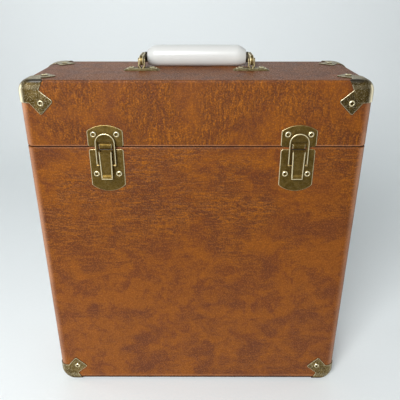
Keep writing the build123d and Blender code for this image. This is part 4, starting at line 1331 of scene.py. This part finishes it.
def leaf_outline(way):
    """One leaf's outline: its near edge is notched where the other leaf's knuckles pass."""
    half_notch = (KNUCKLE_SPAN + KNUCKLE_GAP) / 2
    notch, side_rise, inner_rise = half_notch, 0.0, NOTCH
    if way > 0:
        notch, side_rise, inner_rise = half_notch - KNUCKLE_GAP, NOTCH, 0.0
    near = [(-LEAF_HALF, side_rise), (-notch, side_rise), (-notch, inner_rise)]
    near += [(-u, v) for u, v in near[::-1]]
    corners = near + [(LEAF_HALF, LEAF_HEIGHT), (-LEAF_HALF, LEAF_HEIGHT)]
    return rounded([(u, way * v) for u, v in corners], [0.8] * len(near) + [3.0, 3.0])


for side, x in zip(SIDES, hinge_x):
    for half, way, body in (("body", -1, "case_body"), ("lid", 1, "lid")):
        shells = [prism(leaf_outline(way), 0.0, PLATE, 0.3, at_back(x))]
        for place in (0.0,) if way > 0 else (-KNUCKLE_SPAN, KNUCKLE_SPAN):
            centre = (x + place, back_y + AXIS_OUT, seam_z)
            shells += bar(centre, KNUCKLE, (KNUCKLE_SPAN - KNUCKLE_GAP) / 2, 0.25, 0.3)
        name, node = f"hinge_plate_{half}_{side}", f"hinge_{half}_leaf_{side}"
        build_piece(name, shells, body, node, "hinge")

# %% [markdown]
# ## Handle fittings
#
# Each end of the handle swings on a cast bar that stands on a raised plate. The cast arm is oval
# from the side, thin from above, and a tongue on its end runs into the grip.

# %% Handle plates
FOOT_HALF, FOOT_DEEP, FOOT_CORNER = 19.75, 7.0, 3.0
TOP_HALF, TOP_DEEP, TOP_CORNER, RAISED = 15.5, 5.3, 1.6, 2.0
PIVOT_HEIGHT = 10.0
LINK_HALF, LINK_HALF_HEIGHT, REACH_OUT = 2.1, 5.2, 25.0
BAR_LEG, SIDE_CLEAR, BAR_RADIUS, LEG_LEAN = 1.2, 0.35, 1.7, 1.8


def plate_ring(share, inset):
    """The plate's outline between its foot (share 0) and its top (share 1), less an inset."""
    half_x = FOOT_HALF + share * (TOP_HALF - FOOT_HALF) - inset
    half_y = FOOT_DEEP + share * (TOP_DEEP - FOOT_DEEP) - inset
    corner = max(FOOT_CORNER + share * (TOP_CORNER - FOOT_CORNER) - inset, 0.3)
    corners = [(-half_x, -half_y), (half_x, -half_y), (half_x, half_y), (-half_x, half_y)]
    return rounded(corners, corner)


def raised_plate(x):
    """A plate with sloping ends: rings between its foot and its top, each at its own height."""
    rows = [  # share, inset, height, polish
        (0.0, 2.0, 0.0, 0.0), (0.0, 0.15, 0.0, 0.2), (0.03, 0.0, 0.10, 0.3),
        (0.12, 0.0, 0.26, 0.35), (0.3, 0.0, 0.62, 0.25), (0.75, 0.0, 1.52, 0.3),
        (0.92, 0.0, 1.84, 0.6), (1.0, 0.12, RAISED, 0.7), (1.0, 0.7, RAISED, 0.2),
        (1.0, 1.2, RAISED, 0.0),
    ]
    flat = np.stack([plate_ring(share, inset) for share, inset, _, _ in rows])
    level, wear_and_light = (np.array([row[k] for row in rows])[:, None] for k in (2, 3))
    z = np.broadcast_to(top_z + level, flat.shape[:2])
    points = np.stack([x + flat[..., 0], middle_y + flat[..., 1], z], axis=-1)
    return capped(net(points, wear_and_light, round_columns=True), *flat.shape[:2])


def beside_handle(x):
    """Places (back from the pivot line, up from it, right), for shapes drawn from the side."""
    pivot_z = top_z + PIVOT_HEIGHT
    return lambda u, v, w: np.stack([x + w, middle_y + u, pivot_z + v], axis=-1)


foot = RAISED - PIVOT_HEIGHT
leg_outline = rounded(
    [(-2.6, 2.6), (-3.0, -5.5), (-3.1, foot), (3.1, foot), (3.0, -5.5), (2.6, 2.6)],
    [2.55, 0.0, 0.0, 0.0, 0.0, 2.55],
    6,
)
for side, x in zip(SIDES, handle_x):
    gap = LINK_HALF + SIDE_CLEAR
    shells = [raised_plate(x)]
    for low in (-gap - BAR_LEG, gap):
        points, faces, wear_and_light = prism(leg_outline, low, low + BAR_LEG, 0.3, beside_handle(x), 0.6)
        # The feet of the legs lean towards each other under the link.
        at_foot = points[:, 2] < top_z + RAISED + 0.5
        points[at_foot, 0] -= np.sign(points[at_foot, 0] - x) * LEG_LEAN
        shells.append((points, faces, wear_and_light))
    centre = (x, middle_y, top_z + PIVOT_HEIGHT)
    shells += bar(centre, BAR_RADIUS, gap + BAR_LEG - 0.05, 0.1)
    name, node = f"handle_mount_{side}", f"handle_plate_{side}"
    build_piece(name, shells, "lid", node, "handle_fitting")

# %% Links
SHOULDER_DEEP, SHOULDER_HIGH, GRIP_HALF = 4.8, 5.6, 54.9
TONGUE_FROM, TONGUE_TO, SHOULDER_FROM, SHOULDER_SHADE = 1.0, 16.0, 1.2, -0.9

arm_half = np.array([REACH_OUT / 2 + LINK_HALF_HEIGHT, LINK_HALF_HEIGHT])
arm_outline = np.array([REACH_OUT / 2, 0]) + arm_half * square
arm_outline = rounded(arm_outline, LINK_HALF_HEIGHT * 0.999, 10)
tongue_outline = rounded(np.array([REACH_OUT, 0]) + np.array([3, 4]) * square, 0.7)
# The shoulder is an ellipse about the grip's end: (reach + a cos t, b sin t).
turn = np.linspace(0, 2 * np.pi, 40, endpoint=False)
shoulder_outline = [REACH_OUT + SHOULDER_DEEP * np.cos(turn), SHOULDER_HIGH * np.sin(turn)]
shoulder_outline = np.stack(shoulder_outline, axis=1)
for side, x in zip(SIDES, handle_x):
    inward, place = -1 if x > 0 else 1, beside_handle(x)
    arm = prism(arm_outline, -LINK_HALF, LINK_HALF, 0.9, place, 0.8)
    low, high = sorted((inward * TONGUE_FROM, inward * TONGUE_TO))
    tongue = prism(tongue_outline, low, high, 0.3, place, 0.3)
    low, high = sorted((inward * SHOULDER_FROM, inward * (abs(x) - GRIP_HALF)))
    # The shoulder is painted almost black: painted shade in the gap between the arm and the grip.
    points, faces, wear_and_light = prism(shoulder_outline, low, high, 0.3, place)
    shells = [arm, tongue, (points, faces, np.full(len(wear_and_light), SHOULDER_SHADE))]
    name, node = f"handle_arm_{side}", f"handle_link_{side}"
    build_piece(name, shells, "handle", node, "handle_fitting")

# %% [markdown]
# ## The grip
#
# The grip is moulded in one piece: an oval that swells over its first 11 mm and then stays nearly
# full to the middle. The swell is 0.93 sin(a) + 0.07 (1 - t^2), where t runs from -1 to 1 along the
# grip and a turns through a quarter circle over those 11 mm. The middle also sits a little higher
# than the ends, so that the underside runs nearly level and clears the lid.

# %% Grip
END_HIGH, FULL_HIGH, END_DEEP, FULL_DEEP, LIFT = 15.6, 23.0, 12.2, 19.0, 1.8
SWELL_RUN = 11.0


def grip_shell():
    """Ellipses along the grip: middle (reach, lift * swell), half sizes end + swell * growth."""
    t = np.sin(np.linspace(-np.pi / 2, np.pi / 2, 81))
    from_end = (1 - np.abs(t)) * GRIP_HALF
    quarter = np.minimum(from_end / SWELL_RUN, 1) * np.pi / 2
    swell = 0.93 * np.sin(quarter) + 0.07 * (1 - t**2)
    size = np.sqrt(np.clip(1 - (1 - np.minimum(from_end / 0.8, 1)) ** 2 * 0.14, 0, 1))
    # Two more rings at each end close it with a flat face.
    t = np.concatenate([[-1, -1], t, [1, 1]])
    swell = np.concatenate([[0, 0], swell, [0, 0]])
    size = np.concatenate([[0, 0.85], size, [0.85, 0]])
    half_v = size * (END_HIGH + swell * (FULL_HIGH - END_HIGH)) / 2
    half_u = size * (END_DEEP + swell * (FULL_DEEP - END_DEEP)) / 2
    angle = np.linspace(0, 2 * np.pi, 72, endpoint=False)
    u = REACH_OUT + half_u[:, None] * np.cos(angle)[None]
    v = LIFT * swell[:, None] + half_v[:, None] * np.sin(angle)[None]
    w = np.broadcast_to((t * GRIP_HALF)[:, None], u.shape)
    return net(beside_handle(0.0)(u, v, w), 0.0, round_columns=True)


build_piece("grip", [grip_shell()], "handle", "handle_grip", "grip", sharp=60.0)
